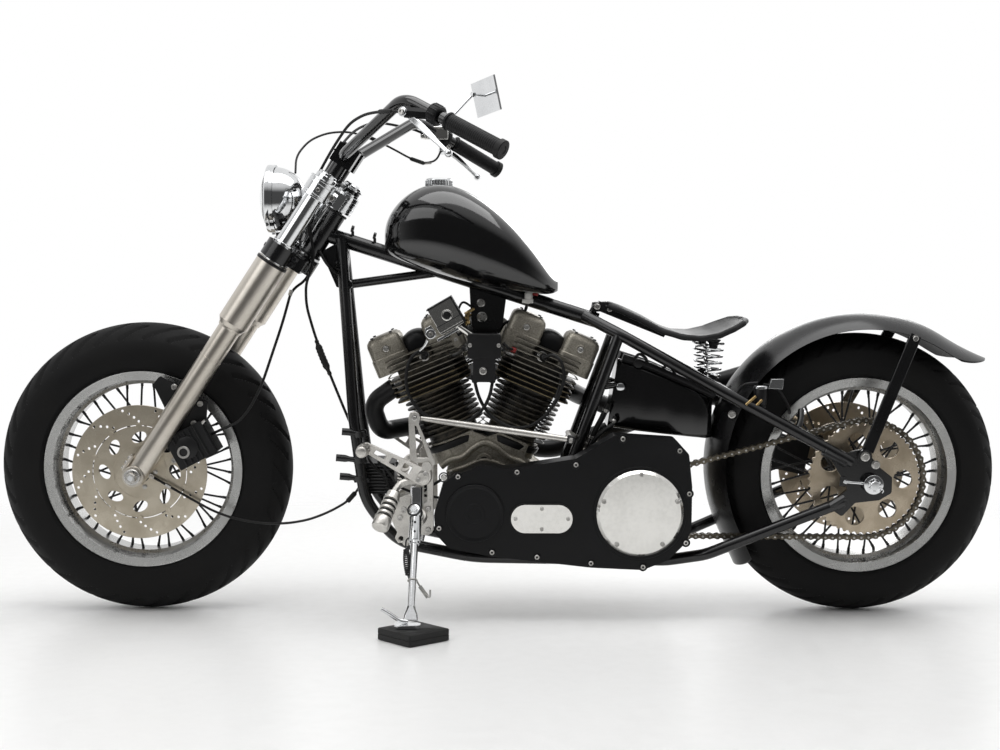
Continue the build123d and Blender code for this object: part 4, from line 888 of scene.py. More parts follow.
def brake_disc(name, axle, left, finish, body, node):
    origin = (axle[0], left, axle[1])
    windows = [lens(76 * cos(a), 76 * sin(a), 11.5, 17.5, a + 0.5) for a in angles(8)]
    rotor = cut_sheet([circle(0, 0, 146, 96), circle(0, 0, 103, 72)] + drilled_groups(12, 111, 9, 4, 0.085,
        3.4), origin, BACK, UP, 4.6)
    carrier = cut_sheet([circle(0, 0, 100.5, 72), circle(0, 0, 21, 40), *windows], origin, BACK, UP, 3.4)
    for part, mesh in (("rotor", rotor), ("carrier", carrier)):
        finished(mesh, f"{name} {part}", finish, body, instead=node)
    shape = Shape()
    for a in angles(10, 0.5):
        spot = (axle[0] + 101.8 * cos(a), left - 2.9, axle[1] + 101.8 * sin(a))
        shape.turned(spot, LEFT, [(0, 5.5), (0.6, 6), (5.2, 6), (5.8, 5.5)], 16)
    shape.hoop((axle[0], left, axle[1]), LEFT, [(-2.5, 56), (-2.5, 60), (2.5, 60), (2.5, 56)], 64)
    shape.piece(name + " buttons", finish, body, bevel=0.2)
    spots = [((axle[0] + 34 * cos(a), left + math.copysign(1.9, left), axle[1] + 34 * sin(a)),
        (0, math.copysign(1, left), 0), 4.2) for a in angles(5)]
    copies(name + " bolts", HEX_SCREW, spots, "zinc screw", body)


brake_disc("front disc", FRONT_AXLE, 88, "front disc metal", "front_wheel", "front_disc")
brake_disc("rear disc", REAR_AXLE, -92, "rear disc metal", "rear_wheel", "rear_disc")


def sprocket(teeth=51, root=117.5, tip=122.4):
    rim = []
    for i in range(teeth):
        for share, r in ((0, root), (0.22, root + 1), (0.40, tip), (0.60, tip), (0.78, root + 1)):
            a = 2 * pi * (i + share) / teeth
            rim.append((r * cos(a), r * sin(a)))
    holes = [circle(84 * cos(a), 84 * sin(a), 21, 32) for a in angles(7)]
    origin = (REAR_AXLE[0], 101, REAR_AXLE[1])
    plate = cut_sheet([rim, circle(0, 0, 21, 40), *holes], origin, BACK, UP, 6.4, 0.5)
    finished(plate, "toothed sprocket", "rear disc metal", "rear_wheel", instead="rear_sprocket")
    spots = [((REAR_AXLE[0] + 42 * cos(a), 104.2, REAR_AXLE[1] + 42 * sin(a)), LEFT, 5) for a in angles(5)]
    copies("sprocket bolts", HEX_SCREW, spots, "zinc screw", "rear_wheel")


sprocket()

# %% [markdown]
# The drive chain's solid is a scalloped band with a swelling at each pin. Real
# chain shows its side plates, so a small figure-of-eight plate is copied between
# the pins on both sides, the outer ones standing prouder, with a rivet at each pin.

# %% Chain plates
SHAFT, SMALL_R, LARGE_R, PIN_PITCH = (297, 248), 62, 129, 15.875


def chain_pins():
    """The pins' places round both sprockets, in (x, z)."""
    dx, dz = REAR_AXLE[0] - SHAFT[0], REAR_AXLE[1] - SHAFT[1]
    gap, tilt = math.hypot(dx, dz), math.atan2(dz, dx)
    spread = math.acos((LARGE_R - SMALL_R) / gap)
    run = math.sqrt(gap ** 2 - (LARGE_R - SMALL_R) ** 2)
    lengths = [run, 2 * LARGE_R * (pi - spread), run, 2 * SMALL_R * spread]
    count = 2 * round(sum(lengths) / PIN_PITCH / 2)
    pins = []
    for i in range(count):
        along, leg = (i + 0.5) * sum(lengths) / count, 0
        while along > lengths[leg]:
            along -= lengths[leg]
            leg += 1
        a = tilt + pi + (-spread if leg < 2 else spread)
        share = (along / run) if leg == 0 else 1 - along / run
        if leg in (0, 2):
            pins.append((SHAFT[0] + SMALL_R * cos(a) + share * (dx + (LARGE_R - SMALL_R) * cos(a)),
                SHAFT[1] + SMALL_R * sin(a) + share * (dz + (LARGE_R - SMALL_R) * sin(a))))
        else:
            centre, r = (REAR_AXLE, LARGE_R) if leg == 1 else (SHAFT, SMALL_R)
            pins.append((centre[0] + r * cos(a - along / r), centre[1] + r * sin(a - along / r)))
    return pins


def link_outline(half, big, waist):
    line = []
    for k in range(7):
        a = radians(-75 + 25 * k)
        line.append((half + big * cos(a), big * sin(a)))
    line += [(0, waist), (-half - big * cos(radians(75)), big * sin(radians(75)))]
    for k in range(1, 7):
        a = radians(105 + 25 * k)
        line.append((-half + big * cos(a), big * sin(a)))
    return line + [(0, -waist)]


LINK = unit_mesh("link plate", Shape().raised(link_outline(PIN_PITCH / 2, 6.6, 3.6), (0, 0, 0),
    BACK, LEFT, 1.3))
RIVET = unit_mesh("rivet", Shape().turned((0, 0, 0), UP, [(0, 2.6), (0.7, 2.4), (1, 1.6)], 10))


def chain_plates():
    pins = chain_pins()
    plates, rivets = [], []
    for i, (x, z) in enumerate(pins):
        nx, nz = pins[(i + 1) % len(pins)]
        way = (nx - x, 0, nz - z)
        proud = 1.6 if i % 2 else 0.1
        for side in (1, -1):
            plates.append((((x + nx) / 2, 101 + side * (5.1 + proud), (z + nz) / 2), (0, side, 0), 1, way))
            rivets.append(((x, 101 + side * 8.1, z), (0, side, 0), 1))
    copies("chain plates", LINK, plates, "oiled chain")
    copies("chain rivets", RIVET, rivets)


chain_plates()

# %% [markdown]
# The engine is what one looks at first. Its barrels are black and its heads bare,
# but in both the hollows are dark and only the fins' edges shine, where they have
# been rubbed. On the barrels the dark is black paint; on the bare heads it is painted
# shade for the hollows between the fins. So the solids get the dark finish and each
# fin an edge band a fifth of its thickness proud. The three lowest bands of a head
# have turned bronze.

# %% Fins
CRANK = (-39, 242)
HEAD_LEAN = (-22.5, 22.5)


def on_barrel(lean, across, left, up):
    """A place on a leaning cylinder: along its side, to the left, up from the crank."""
    c, s = cos(radians(lean)), sin(radians(lean))
    return vec(CRANK[0] + across * c + up * s, left, CRANK[1] - across * s + up * c)


def rounded_box(half_a, half_b, corner, steps=6):
    line = []
    for ca, cb, start in ((1, 1, 0), (-1, 1, 90), (-1, -1, 180), (1, -1, 270)):
        for k in range(steps + 1):
            a = radians(start + 90 * k / steps)
            line.append((ca * (half_a - corner) + corner * cos(a), cb * (half_b - corner) + corner * sin(a)))
    return line


def barrel_ways(lean):
    """Along a cylinder's side, and up its axis."""
    foot = on_barrel(lean, 0, 0, 0)
    return on_barrel(lean, 1, 0, 0) - foot, on_barrel(lean, 0, 0, 1) - foot


def fin_edges(name, low, high, pitch, outline, finish, proud=0.35, thick=1.3):
    shape = Shape()
    for lean in HEAD_LEAN:
        up = low
        while up <= high:
            outer = [(a * (1 + proud / 76), b * (1 + proud / 76)) for a, b in outline]
            inner = [(a * 0.965, b * 0.965) for a, b in outline]
            shape.loft([[on_barrel(lean, a, b, up + level) for a, b in edge]
                for edge, level in ((outer, 0), (outer, thick), (inner, thick), (inner, 0))], True)
            up += pitch
    shape.piece(name, finish)


BORE = circle(0, 0, 76, 72)
HEAD_FIN = rounded_box(86, 75, 34, 8)
fin_edges("barrel fin edges", 173.4, 277, 11.5, BORE, "rubbed black and painted shade", thick=1.2)
fin_edges("bronze fin edges", 280.3, 304, 11.5, HEAD_FIN, "bronzed casting")
fin_edges("head fin edges", 314.8, 340, 11.5, HEAD_FIN, "aged casting")

# %% [markdown]
# Each head carries two rocker covers with a ridge round the foot, a hexagon bolt in
# a sunken seat, and behind them a black dome. The plug sits in a pocket between
# them, drawn as a thin dark disc of painted shade, with its rubber boot and a pale
# nut.

# %% Heads
def rocker_covers():
    caps, painted_shade_core = Shape(), Shape()
    for lean in HEAD_LEAN:
        side, _ = barrel_ways(lean)
        for across in (-64, 64):
            caps.loft([[on_barrel(lean, across + a, b, up) for a, b in rounded_box(half_a, half_b, 14, 5)]
                for up, half_a, half_b in ((346.4, 40, 54), (347.5, 41, 55), (384, 41, 55),
                (385.5, 39.4, 53.4), (417, 39, 53), (424, 37, 50), (430, 31, 44), (432, 25, 38))])
        # The block and fins between the covers get the dark finish as painted shade for the head's hollows.
        painted_shade_core.raised(rounded_box(34, 46, 6), on_barrel(lean, 0, 0, 344), side, LEFT, 30)
        for up in (349.3, 360.8, 372.3):
            painted_shade_core.raised(rounded_box(84, 66, 30), on_barrel(lean, 0, 0, up), side, LEFT, 3.2)
    caps.piece("rocker covers", "aged casting", bevel=0.5, smooth=30, instead="rocker_boxes")
    painted_shade_core.piece("upper fins", "rubbed black and painted shade", bevel=0.3, instead="rocker_boxes")


def head_trim():
    covers, domes, boots, pockets = Shape(), Shape(), Shape(), Shape()
    seats, nuts, lids = [], [], []
    for lean in HEAD_LEAN:
        _, rise = barrel_ways(lean)
        for across in (-64, 64):
            for b in (53.2, -53.2):
                way = 1 if b > 0 else -1
                covers.turned(on_barrel(lean, across, b, 402), (0, way, 0),
                    [(-1, 11), (1.4, 10.4), (1.4, 8), (0.2, 7.6)], 28)
                seats.append((on_barrel(lean, across, b + way * 0.4, 402), (0, way, 0), 5.4))
            for b in (40, -40):
                lids.append((on_barrel(lean, across + 22, b, 432), rise, 3.6))
                lids.append((on_barrel(lean, across - 22, b, 432), rise, 3.6))
        dome_foot = on_barrel(lean, 0, 0, 374)
        domes.turned(dome_foot + vec(0, -44, 0), LEFT, [(0, 34), (2, 40), (18, 43), (52, 43), (66, 40),
            (74, 33), (78, 22), (79.5, 8)], 40)
        inward = 8 if lean < 0 else -8
        # A thin dark disc round the plug is painted shade for its recess.
        pockets.turned(on_barrel(lean, inward, 57, 356), LEFT, [(0, 17), (1.6, 16.5), (1.6, 13), (0.4, 12.5)],
            28)
        boot = on_barrel(lean, inward, 58, 356)
        plug = vec(-166, 76.5, 580) if lean < 0 else vec(94, 76.5, 574)
        boots.bent([plug, plug.lerp(boot, 0.5) + vec(0, 3, -3), boot], [6.2] * 6 + [7.4] * 7, 16)
        boots.turned(plug.lerp(boot, 0.2), boot - plug, [(0, 7.6), (1, 8), (5, 8), (6, 7.6)], 16)
        nuts.append((boot + vec(0, -0.8, 0), LEFT, 9))
    covers.piece("rocker ridges", "aged casting", bevel=0.6)
    domes.piece("rocker domes", "case paint")
    pockets.piece("plug pockets", "rubbed black and painted shade", bevel=0.3)
    boots.piece("plug boots", "moulded rubber")
    copies("rocker bolts", HEX_SCREW, seats)
    copies("plug nuts", HEX_SCREW, nuts)
    copies("cover screws", SOCKET_SCREW, lids, "black screw")


rocker_covers()
head_trim()
fin_edges("top fin edges", 349.8, 373, 11.5, rounded_box(84, 66, 30), "aged casting")

# %% [markdown]
# Between the heads hang the coil, a moulded block with a narrower foot, and the
# chromed box of the ignition switch in its black frame, with a keyhole and a clamp.
# Both stand in for plain blocks. Small brass and red fittings sit beside them.

# %% Coil and switch box
def coil_and_switch():
    block = Shape()
    block.raised(rounded_box(36, 26, 5), (-37, 72, 600), BACK, UP, -40)
    block.raised(rounded_box(24, 27, 6), (-37, 76, 549), BACK, UP, -34)
    block.raised(rounded_box(30, 5, 2), (-37, 74, 577), BACK, UP, -36.5)
    for x in (-57, -19):
        block.turned((x, 92, 528), (0, 0, -1), [(-8, 9), (0, 8.6), (4, 7), (9, 6)], 16)
    block.box((-37, 46, 616), (34, 80, 10))
    block.piece("coil block", "satin paint", bevel=1.4, instead="coil")
    screws = [((-39.6, 110, 546.6), LEFT, 6.5), ((-68, 111.6, 602), LEFT, 3.6), ((-6, 111.6, 602), LEFT, 3.6),
        ((-44.5, 5.6, 688), LEFT, 7), ((-42.2, 5.6, 657), LEFT, 9)]
    copies("coil screws", HEX_SCREW, screws)
    c, s = cos(radians(-30)), sin(radians(-30))
    u, v = vec(c, 0, -s), vec(s, 0, c)
    centre = vec(-119, 97, 664)
    shell = Shape()
    shell.raised(rounded_box(28, 30, 3), centre + vec(0, -29, 0), u, v, -59)
    shell.raised(rounded_box(29.5, 7, 1.5), centre - v * 18 + vec(0, -30.5, 0), u, v, -61.6)
    shell.tube([vec(-110, 88, 652), vec(-66, 80, 622)], 7.5, 18)
    shell.turned(centre + vec(2, 29.5, 3), LEFT, [(0, 12), (1.2, 12), (1.8, 9.5), (1.2, 8.6)], 28)
    shell.piece("switch box", "polished cover", bevel=1, instead="key_box")
    rim = Shape()
    for a, b, da, db in ((0, 31.2, 30, 1.8), (29.2, 1, 1.8, 32), (0, -11, 29, 0.9)):
        rim.raised(rounded_box(da, db, 0.6), centre + u * a + v * b + vec(0, -30.8, 0), u, v, -62)
    rim.turned(centre + vec(2, 30, 3), LEFT, [(0, 8.2), (1.5, 8.2), (1.8, 7)], 24)
    rim.box(centre + vec(2, 31.9, 3), (2, 0.8, 9))
    rim.box((-91, 66, 640), (26, 30, 34), u, LEFT)
    rim.piece("switch frame", "satin paint", bevel=0.5)
    clamp = Shape()
    clamp.raised([(-9, -10), (9, -10), (12, 0), (9, 16), (-5, 16), (-12, 4)], (-152, 104, 626), u, v, -10)
    clamp.turned((-152, 103, 626), LEFT, [(0, 11), (14, 11), (15, 10)], 20)
    clamp.bent([(-159, 104, 612), (-166, 100, 598), (-176, 90, 588)], 3.2, 12)
    clamp.raised([(-26, -3), (26, -3), (26, 3), (-26, 3)], (-115, 112, 625), u, v, -8)
    clamp.piece("switch clamp", "chrome", bevel=0.8)
    copies("switch screws", SOCKET_SCREW, [((-152, 117.6, 626), LEFT, 5), ((-98, 120, 615), LEFT, 4),
        ((-93, 128.4, 632), LEFT, 3)])


coil_and_switch()

# %% [markdown]
# The crankcase is a pale casting with an arched shoulder and a dark boss under the
# cylinders. Behind the rear cylinder a chromed hose of separate rings goes down.
# Little fittings crowd the space below the tank: a petcock, brass elbows, sleeves.

# %% Case and fittings
def engine_fittings():
    case = Shape()
    arch = rounded([(-131, 62, 330), (-112, 63, 344), (-84, 64, 352), (-60, 64, 372), (-36, 64, 384),
        (-10, 64, 374), (18, 64, 352), (48, 63, 340), (74, 62, 318)])
    case.tube(arch, 7.5, 14)
    case.bent([(-118, 60, 318), (-80, 64, 330), (-36, 66, 346), (10, 64, 332), (62, 60, 306)], 5, 12)
    case.turned((-36, 60, 342), LEFT, [(0, 20), (8, 19), (10, 17), (10, 11.5), (6, 11)], 28)
    case.piece("case arches", "aged casting")
    dark = Shape().turned((-36, 61, 342), LEFT, [(0, 11.5), (6.4, 11)], 24)
    for lean in HEAD_LEAN:
        dark.turned(on_barrel(lean, 0, 0, 146), barrel_ways(lean)[1], [(0, 67), (10, 70), (13, 70), (17, 62)],
            48)
        for across in (-34, 34):
            dark.tube([on_barrel(lean, across, -60, 130), on_barrel(lean, across * 1.2, -66, 282)], 9, 16)
    dark.piece("barrel feet", "satin paint", bevel=0.4)
    bolts = []
    for lean in HEAD_LEAN:
        for across in (-56, -22, 22, 56):
            foot = on_barrel(lean, across, 52 if abs(across) < 40 else 34, 162)
            bolts.append((foot, barrel_ways(lean)[1], 5.4))
    bolts += [((x, 62.6, z), LEFT, 4.6) for x, z in ((-108, 318), (58, 300), (-100, 246), (44, 232),
        (-70, 190), (12, 186))]
    copies("case bolts", HEX_SCREW, bolts)
    hose = Shape()
    path = rounded([(120, 78, 486), (113, 80, 472), (96, 81, 443), (80, 80, 416), (70, 76, 400)], 8)
    hose.tube(path, 5.4, 14)
    hose.piece("hose core", "cable sheath")
    rings = Shape()
    for k in range(3, len(path) - 4, 2):
        along = path[k + 1] - path[k - 1]
        section = [(2 * cos(a), 7 + 1.5 * sin(a)) for a in angles(8)]
        rings.hoop(path[k], along, section, 24)
    rings.piece("hose rings", "chrome")
    brass = Shape().bent([(-76, 14, 640), (-76, 18, 656), (-72, 20, 668), (-60, 16, 676)],
        [6.5] * 7 + [5] * 6 + [4] * 6, 14)
    brass.turned((-76, 16, 644), (0, 0.2, 1), [(0, 9), (6, 9)], 6).turned((-74, 19, 662), (0.3, 0, 1),
        [(0, 8.2), (5, 8.2)], 6)
    brass.piece("brass elbow", "brass", bevel=0.5)
    red = Shape().tube([(22, 62, 590), (32, 62, 586)], 6.2, 14).tube([(74, 30, 706), (78, 30, 722)], 7, 14)
    red.piece("red sleeves", "red sleeve", bevel=0.6)
    tap = Shape().turned((60, 30, 696), UP, [(0, 8), (4, 9), (15, 9), (18, 6), (24, 6)], 20)
    tap.box((58, 32, 694), (24, 14, 9)).turned((58, 30, 688), UP, [(0, 5), (10, 6)], 16)
    tap.piece("petcock", "white enamel", bevel=0.8)
    lines = Shape().bent([(58, 30, 690), (50, 22, 668), (24, 10, 650), (6, -8, 640), (-10, -16, 610)],
        3.6, 10)
    lines.bent([(-60, 14, 676), (-84, 20, 690), (-96, 26, 668), (-98, 40, 640)], 2.6, 10)
    lines.bent([(4, 100, 606), (14, 96, 596), (24, 66, 590)], 3.2, 10)
    lines.bent([(120, 78, 486), (130, 66, 520), (126, 40, 560), (100, 10, 600), (60, -4, 640)], 4.6, 10)
    lines.piece("fuel and wire lines", "cable sheath")
    guard = Shape()
    guard.turned((-39, -172, 581), (0, -1, 0), [(0, 82), (0.5, 82), (3, 79), (4, 70), (4, 46), (7, 40),
        (8, 20)], 72)
    guard.hoop((-39, -147, 581), LEFT, [(-24, 81.9), (-24, 82.6), (24, 82.6), (24, 81.9)], 96)
    guard.piece("filter cover", "chrome", bevel=0.5)


engine_fittings()

# %% [markdown]
# The primary cover is a flat casting with a rounded edge, held by a row of bright
# screws along its border. Its two windows are polished lids, each with its own
# screws, and round the inspection lid runs a thin seal.

# %% Primary cover
def primary_trim():
    border = [(258.2, 408.1), (379.9, 382.8), (402, 290.2), (396.4, 183.9), (305.2, 131), (193.4, 139),
        (-91.9, 325.4), (33.6, 335.8), (159, 352), (-132.1, 214), (-18.8, 162), (77.6, 152)]
    copies("primary screws", SOCKET_SCREW, [((x, 165.6, z), LEFT, 5.2) for x, z in border])
    lid = [(297.7, 333.3), (219, 274.5), (375.5, 275), (247.7, 182.2), (345.3, 182.5)]
    copies("derby screws", SOCKET_SCREW, [((x, 175, z), LEFT, 5) for x, z in lid])
    copies("lid screws", SOCKET_SCREW,
        [((x, 173, z), LEFT, 4.2) for x, z in ((31, 236.3), (143, 236.6), (87, 258), (87, 214))])
    bosses = Shape()
    for x, z in border:
        bosses.turned((x, 156, z), LEFT, [(0, 9.5), (10.6, 9.5), (11.4, 8.4)], 24)
    bosses.hoop((-56, 171, 247), LEFT, [(-0.4, 62.3), (0.9, 61), (0.9, 55), (-0.2, 53)], 72)
    bosses.hoop((-56, 170.6, 247), LEFT, [(0, 22), (1.2, 21), (1.2, 15), (0, 14)], 40)
    bosses.hoop((297, 166, 248), LEFT, [(-0.4, 101), (1.8, 99.5), (1.8, 94), (-0.4, 93.6)], 96)
    bosses.piece("primary bosses", "case paint", bevel=0.3)
    seal = Shape()
    seal.raised([(a + math.copysign(35, a), b) for a, b in circle(0, 0, 33.1, 48)], (87, 168, 236),
        BACK, UP, 3.4)
    seal.piece("lid seal", "moulded rubber", bevel=0.3)


primary_trim()

# %% [markdown]
# The lamp is a deep chromed bowl. Its glass shows a silvered dish with a bulb, its
# rim is a rolled ring with a clamp screw, and a black bracket holds it from below.

# %% Head lamp
LAMP = (-511.5, 914.2)


def head_lamp():
    x, z = LAMP
    bowl = Shape().hoop((x + 3, 0, z), BACK, [(-3.5, 70), (-5, 72.5), (-3, 74.4), (4, 74.6), (7, 73.2),
        (7.5, 70)], 72)
    bowl.hoop((x + 14, 0, z), BACK, [(-1, 73.6), (-1, 74.3), (2, 74.3), (2, 73.6)], 72)
    bowl.turned((x + 78, 0, z), BACK, [(0, 16), (4, 15), (8, 11), (9, 4)], 28)
    bowl.piece("lamp rings", "chrome", "steering")
    dish = Shape().hoop((x, 0, z), BACK, [(0.5, 68), (12, 62), (26, 46), (34, 26), (36, 10), (37, 10),
        (35, 28), (27, 48), (13, 64), (1.5, 69)], 56)
    dish.piece("lamp dish", "silvered glass", "steering")
    bulb = Shape().turned((x + 36, 0, z), (-1, 0, 0), [(0, 11), (6, 11), (8, 8), (20, 8), (25, 6), (27, 2)],
        24)
    bulb.piece("bulb", "white enamel", "steering")
    fittings = Shape()
    for left in (24, -24):
        fittings.strap(rounded([(x + 34, left * 0.7, z - 66), (x + 46, left, z - 74), (x + 60, left, z - 70),
            (-436, left, 846)], 4), (13, 5), LEFT)
    fittings.turned((x + 46, -34, z - 74), LEFT, [(0, 9), (68, 9)], 20)
    fittings.bent([(x + 72, 6, z - 8), (x + 84, 10, z - 22), (x + 82, 22, z - 48), (x + 66, 26, z - 62),
        (x + 64, 24, z - 80)], 5, 12, 5)
    fittings.bent([(x + 80, -4, z - 8), (x + 96, -8, z - 26), (x + 92, 8, z - 52), (-436, 30, 850)], 4, 12, 5)
    fittings.box((x + 58, 0, z - 78), (34, 44, 16), (0.94, 0, -0.34), LEFT)
    fittings.piece("lamp bracket", "satin paint", "steering", bevel=0.8)
    screws = [((x + 46, 34.5, z - 74), LEFT, 6.4), ((x + 9, 4, z - 75), (0, 0.2, -1), 3.6),
        ((x + 46, -34.5, z - 74), (0, -1, 0), 6.4)]
    copies("lamp screws", SOCKET_SCREW, screws, "chrome", "steering")


head_lamp()

# %% [markdown]
# The two yokes clamp the fork tubes. The upper clamps are bright caps with a ring
# above and below and a sunken set screw; between them a stack of nuts and washers
# closes the steering stem. The lower yoke is black, with pinch bolts.

# %% Yokes and stem
FORK_UP = unit(fork(0, 0, 1) - fork(0, 0, 0))
FORK_BACK = unit(fork(1, 0, 0) - fork(0, 0, 0))


def yoke_trim():
    bright, dark, screws, black_screws = Shape(), Shape(), [], []
    for left in (125, -125):
        way = math.copysign(1, left)
        for up, r, high in ((708.4, 31.6, 4.5), (716, 31.2, 2.2), (738, 31.2, 2.2), (746, 31.6, 5)):
            bright.hoop(fork(0, left, up), FORK_UP, [(0, 29), (0, r - 0.6), (0.6, r), (high - 0.6, r),
                (high, r - 0.6), (high, 29)], 48)
        bright.hoop(fork(0, left, 752), FORK_UP, [(0, 20), (0, 23.5), (8, 23.5), (9.5, 22), (9.5, 20)], 40)
        bright.turned(fork(0, left, 761), FORK_UP, [(0, 20.4), (5, 20.4), (6.6, 18), (7.2, 9), (5, 8.5)], 32)
        for up in (546.5, 590):
            bright.hoop(fork(0, left, up), FORK_UP, [(0, 20.6), (0, 24), (1, 25), (4, 25), (5, 24),
                (5, 20.6)], 40)
        dark.hoop(fork(0, left, 541), FORK_UP, [(0, 33), (0, 35.2), (5, 35.2), (7, 34), (7, 21), (5, 21)], 48)
        dark.strap([fork(24, left - way * 4, 570), fork(44, left - way * 6, 570)], (26, 26), FORK_UP)
        bright.strap([fork(22, left - way * 4, 728), fork(40, left - way * 6, 728)], (30, 22), FORK_UP)
        screws += [(fork(2, left + way * 30.6, 728), (0, way, 0), 4.4),
            (fork(33, left + way * 6, 728), (0, way, 0), 6)]
        black_screws += [(fork(36, left + way * 7, 576), (0, way, 0), 6),
            (fork(36, left + way * 7, 562), (0, way, 0), 6), (fork(-31, left, 570), -FORK_BACK, 5)]
    for up, r, high in ((750.5, 25, 5), (757, 22, 6), (764, 26, 4)):
        bright.hoop(fork(45, 0, up), FORK_UP, [(0, 12), (0, r), (high, r), (high, 12)], 6 if r == 22 else 40)
    bright.turned(fork(45, 0, 768.3), FORK_UP, [(0, 21), (4, 21), (7, 18), (8, 8)], 36)
    for up in (711, 722, 735):
        bright.hoop(fork(45, 0, up), FORK_UP, [(0, 28), (0, 29.6), (5, 29.6), (5, 28)], 40)
    for up in (592.5, 701):
        dark.hoop(fork(45, 0, up), FORK_UP, [(0, 21), (0, 25.5), (4.5, 25.5), (4.5, 21)], 40)
    bright.piece("upper clamp rings", "chrome", "steering", bevel=0.3)
    dark.piece("lower clamp rings", "satin paint", "steering", bevel=0.5)
    copies("upper clamp screws", SOCKET_SCREW, screws, "zinc screw", "steering")
    copies("lower clamp screws", SOCKET_SCREW, black_screws, "black screw", "steering")


yoke_trim()

# %% [markdown]
# At its foot each leg is split round the axle and closed by two screws; the axle
# ends in a bright cap with a hexagon socket. The black caliper has cooling ribs, a
# pale piston ring, a bleed nipple and bracket bolts.

# %% Fork feet and brake
def fork_feet():
    clamp, screws, x, z = Shape(), [], *FRONT_AXLE
    for left in (125, -125):
        way = math.copysign(1, left)
        clamp.hoop((x, left + way * 24.4, z), (0, way, 0), [(0, 11), (0, 22.6), (2.4, 21.8), (2.4, 11)], 40)
        clamp.strap([fork(-25, left, -4), fork(-25, left, 34)], (36, 9), LEFT)
        clamp.hoop(fork(0, left, 376), FORK_UP, [(0, 24.2), (0, 26.6), (5, 27.4), (5, 24.2)], 48)
        for up in (2, 27):
            for out in (-10, 10):
                screws.append((fork(-29.5, left + out, up), -FORK_BACK, 4.2))
        clamp.hoop(fork(0, left, 300), FORK_UP, [(0, 24.2), (0, 25), (2, 25), (2, 24.2)], 48)
    clamp.piece("axle clamps", "fork steel", "steering", bevel=0.8)
    caps = Shape().hoop((x, 150, z), LEFT, [(0, 10), (0, 15.5), (3, 17.5), (9, 17.5), (11, 15.5), (11, 10)],
        36)
    caps.hoop((x, 161, z), LEFT, [(0, 9.4), (0, 13), (12, 12.4), (14, 11), (14, 6.2), (4, 6)], 6)
    caps.hoop((x, -150, z), (0, -1, 0), [(0, 9.4), (0, 15), (9, 15), (11, 12), (11, 6)], 6)
    caps.piece("axle caps", "zinc screw", "steering", bevel=0.4)
    copies("clamp screws", SOCKET_SCREW, screws, "zinc screw", "steering")
    a = radians(28)
    out, round_way = vec(cos(a), 0, sin(a)), vec(-sin(a), 0, cos(a))
    mid = vec(x, 88, z) + out * 134
    body = Shape()
    for k in range(5):
        body.strap([mid + out * (-26 + 13 * k) + round_way * -35 + vec(0, 38.6, 0),
            mid + out * (-26 + 13 * k) + round_way * 35 + vec(0, 38.6, 0)], (4, 5), out)
    body.turned(mid + out * -8 + vec(0, 34, 0), LEFT, [(0, 26), (6, 25), (8, 22)], 36)
    body.box(mid + out * 40 + vec(0, 24, 0), (14, 18, 70), out, LEFT)
    body.piece("caliper ribs", "satin paint", "steering", bevel=0.9)
    ring = Shape().hoop((-680.9, 128, 370.4), LEFT, [(0, 9), (0, 13.5), (3.5, 13.5), (4.5, 12.5), (4.5, 9)],
        32)
    ring.tube([mid + out * 38 + round_way * 30 + vec(0, 30, 0), mid + out * 54 + round_way * 34 + vec(0, 34,
        0)], [5, 3], 12)
    ring.piece("caliper ring", "zinc screw", "steering", bevel=0.2)
    ears = [(-704.2, 508.5), (-649.4, 472.1), (-707, 348.6), (-664, 430)]
    copies("caliper bolts", SOCKET_SCREW, [((ex, 101, ez), LEFT, 6.4) for ex, ez in ears], "zinc screw",
        "steering")


fork_feet()

# %% [markdown]
# The bar controls are small but they stand against the sky. Each has a black perch
# with a knurled ring, a chromed blade that widens towards its ball end, a knob on
# the pivot, and on the right a pale master cylinder with a lid. They replace the
# solid's bare rods. Clamp plates hold the bar, and the mirror's rod gets its joints.

# %% Bar controls
GRIP_WAY = vec(0.779, 0.451, -0.435)
BAR_END = vec(-6.5, 387, 1000.9)


def flipped(p, side):
    return vec(p[0], side * p[1], p[2])


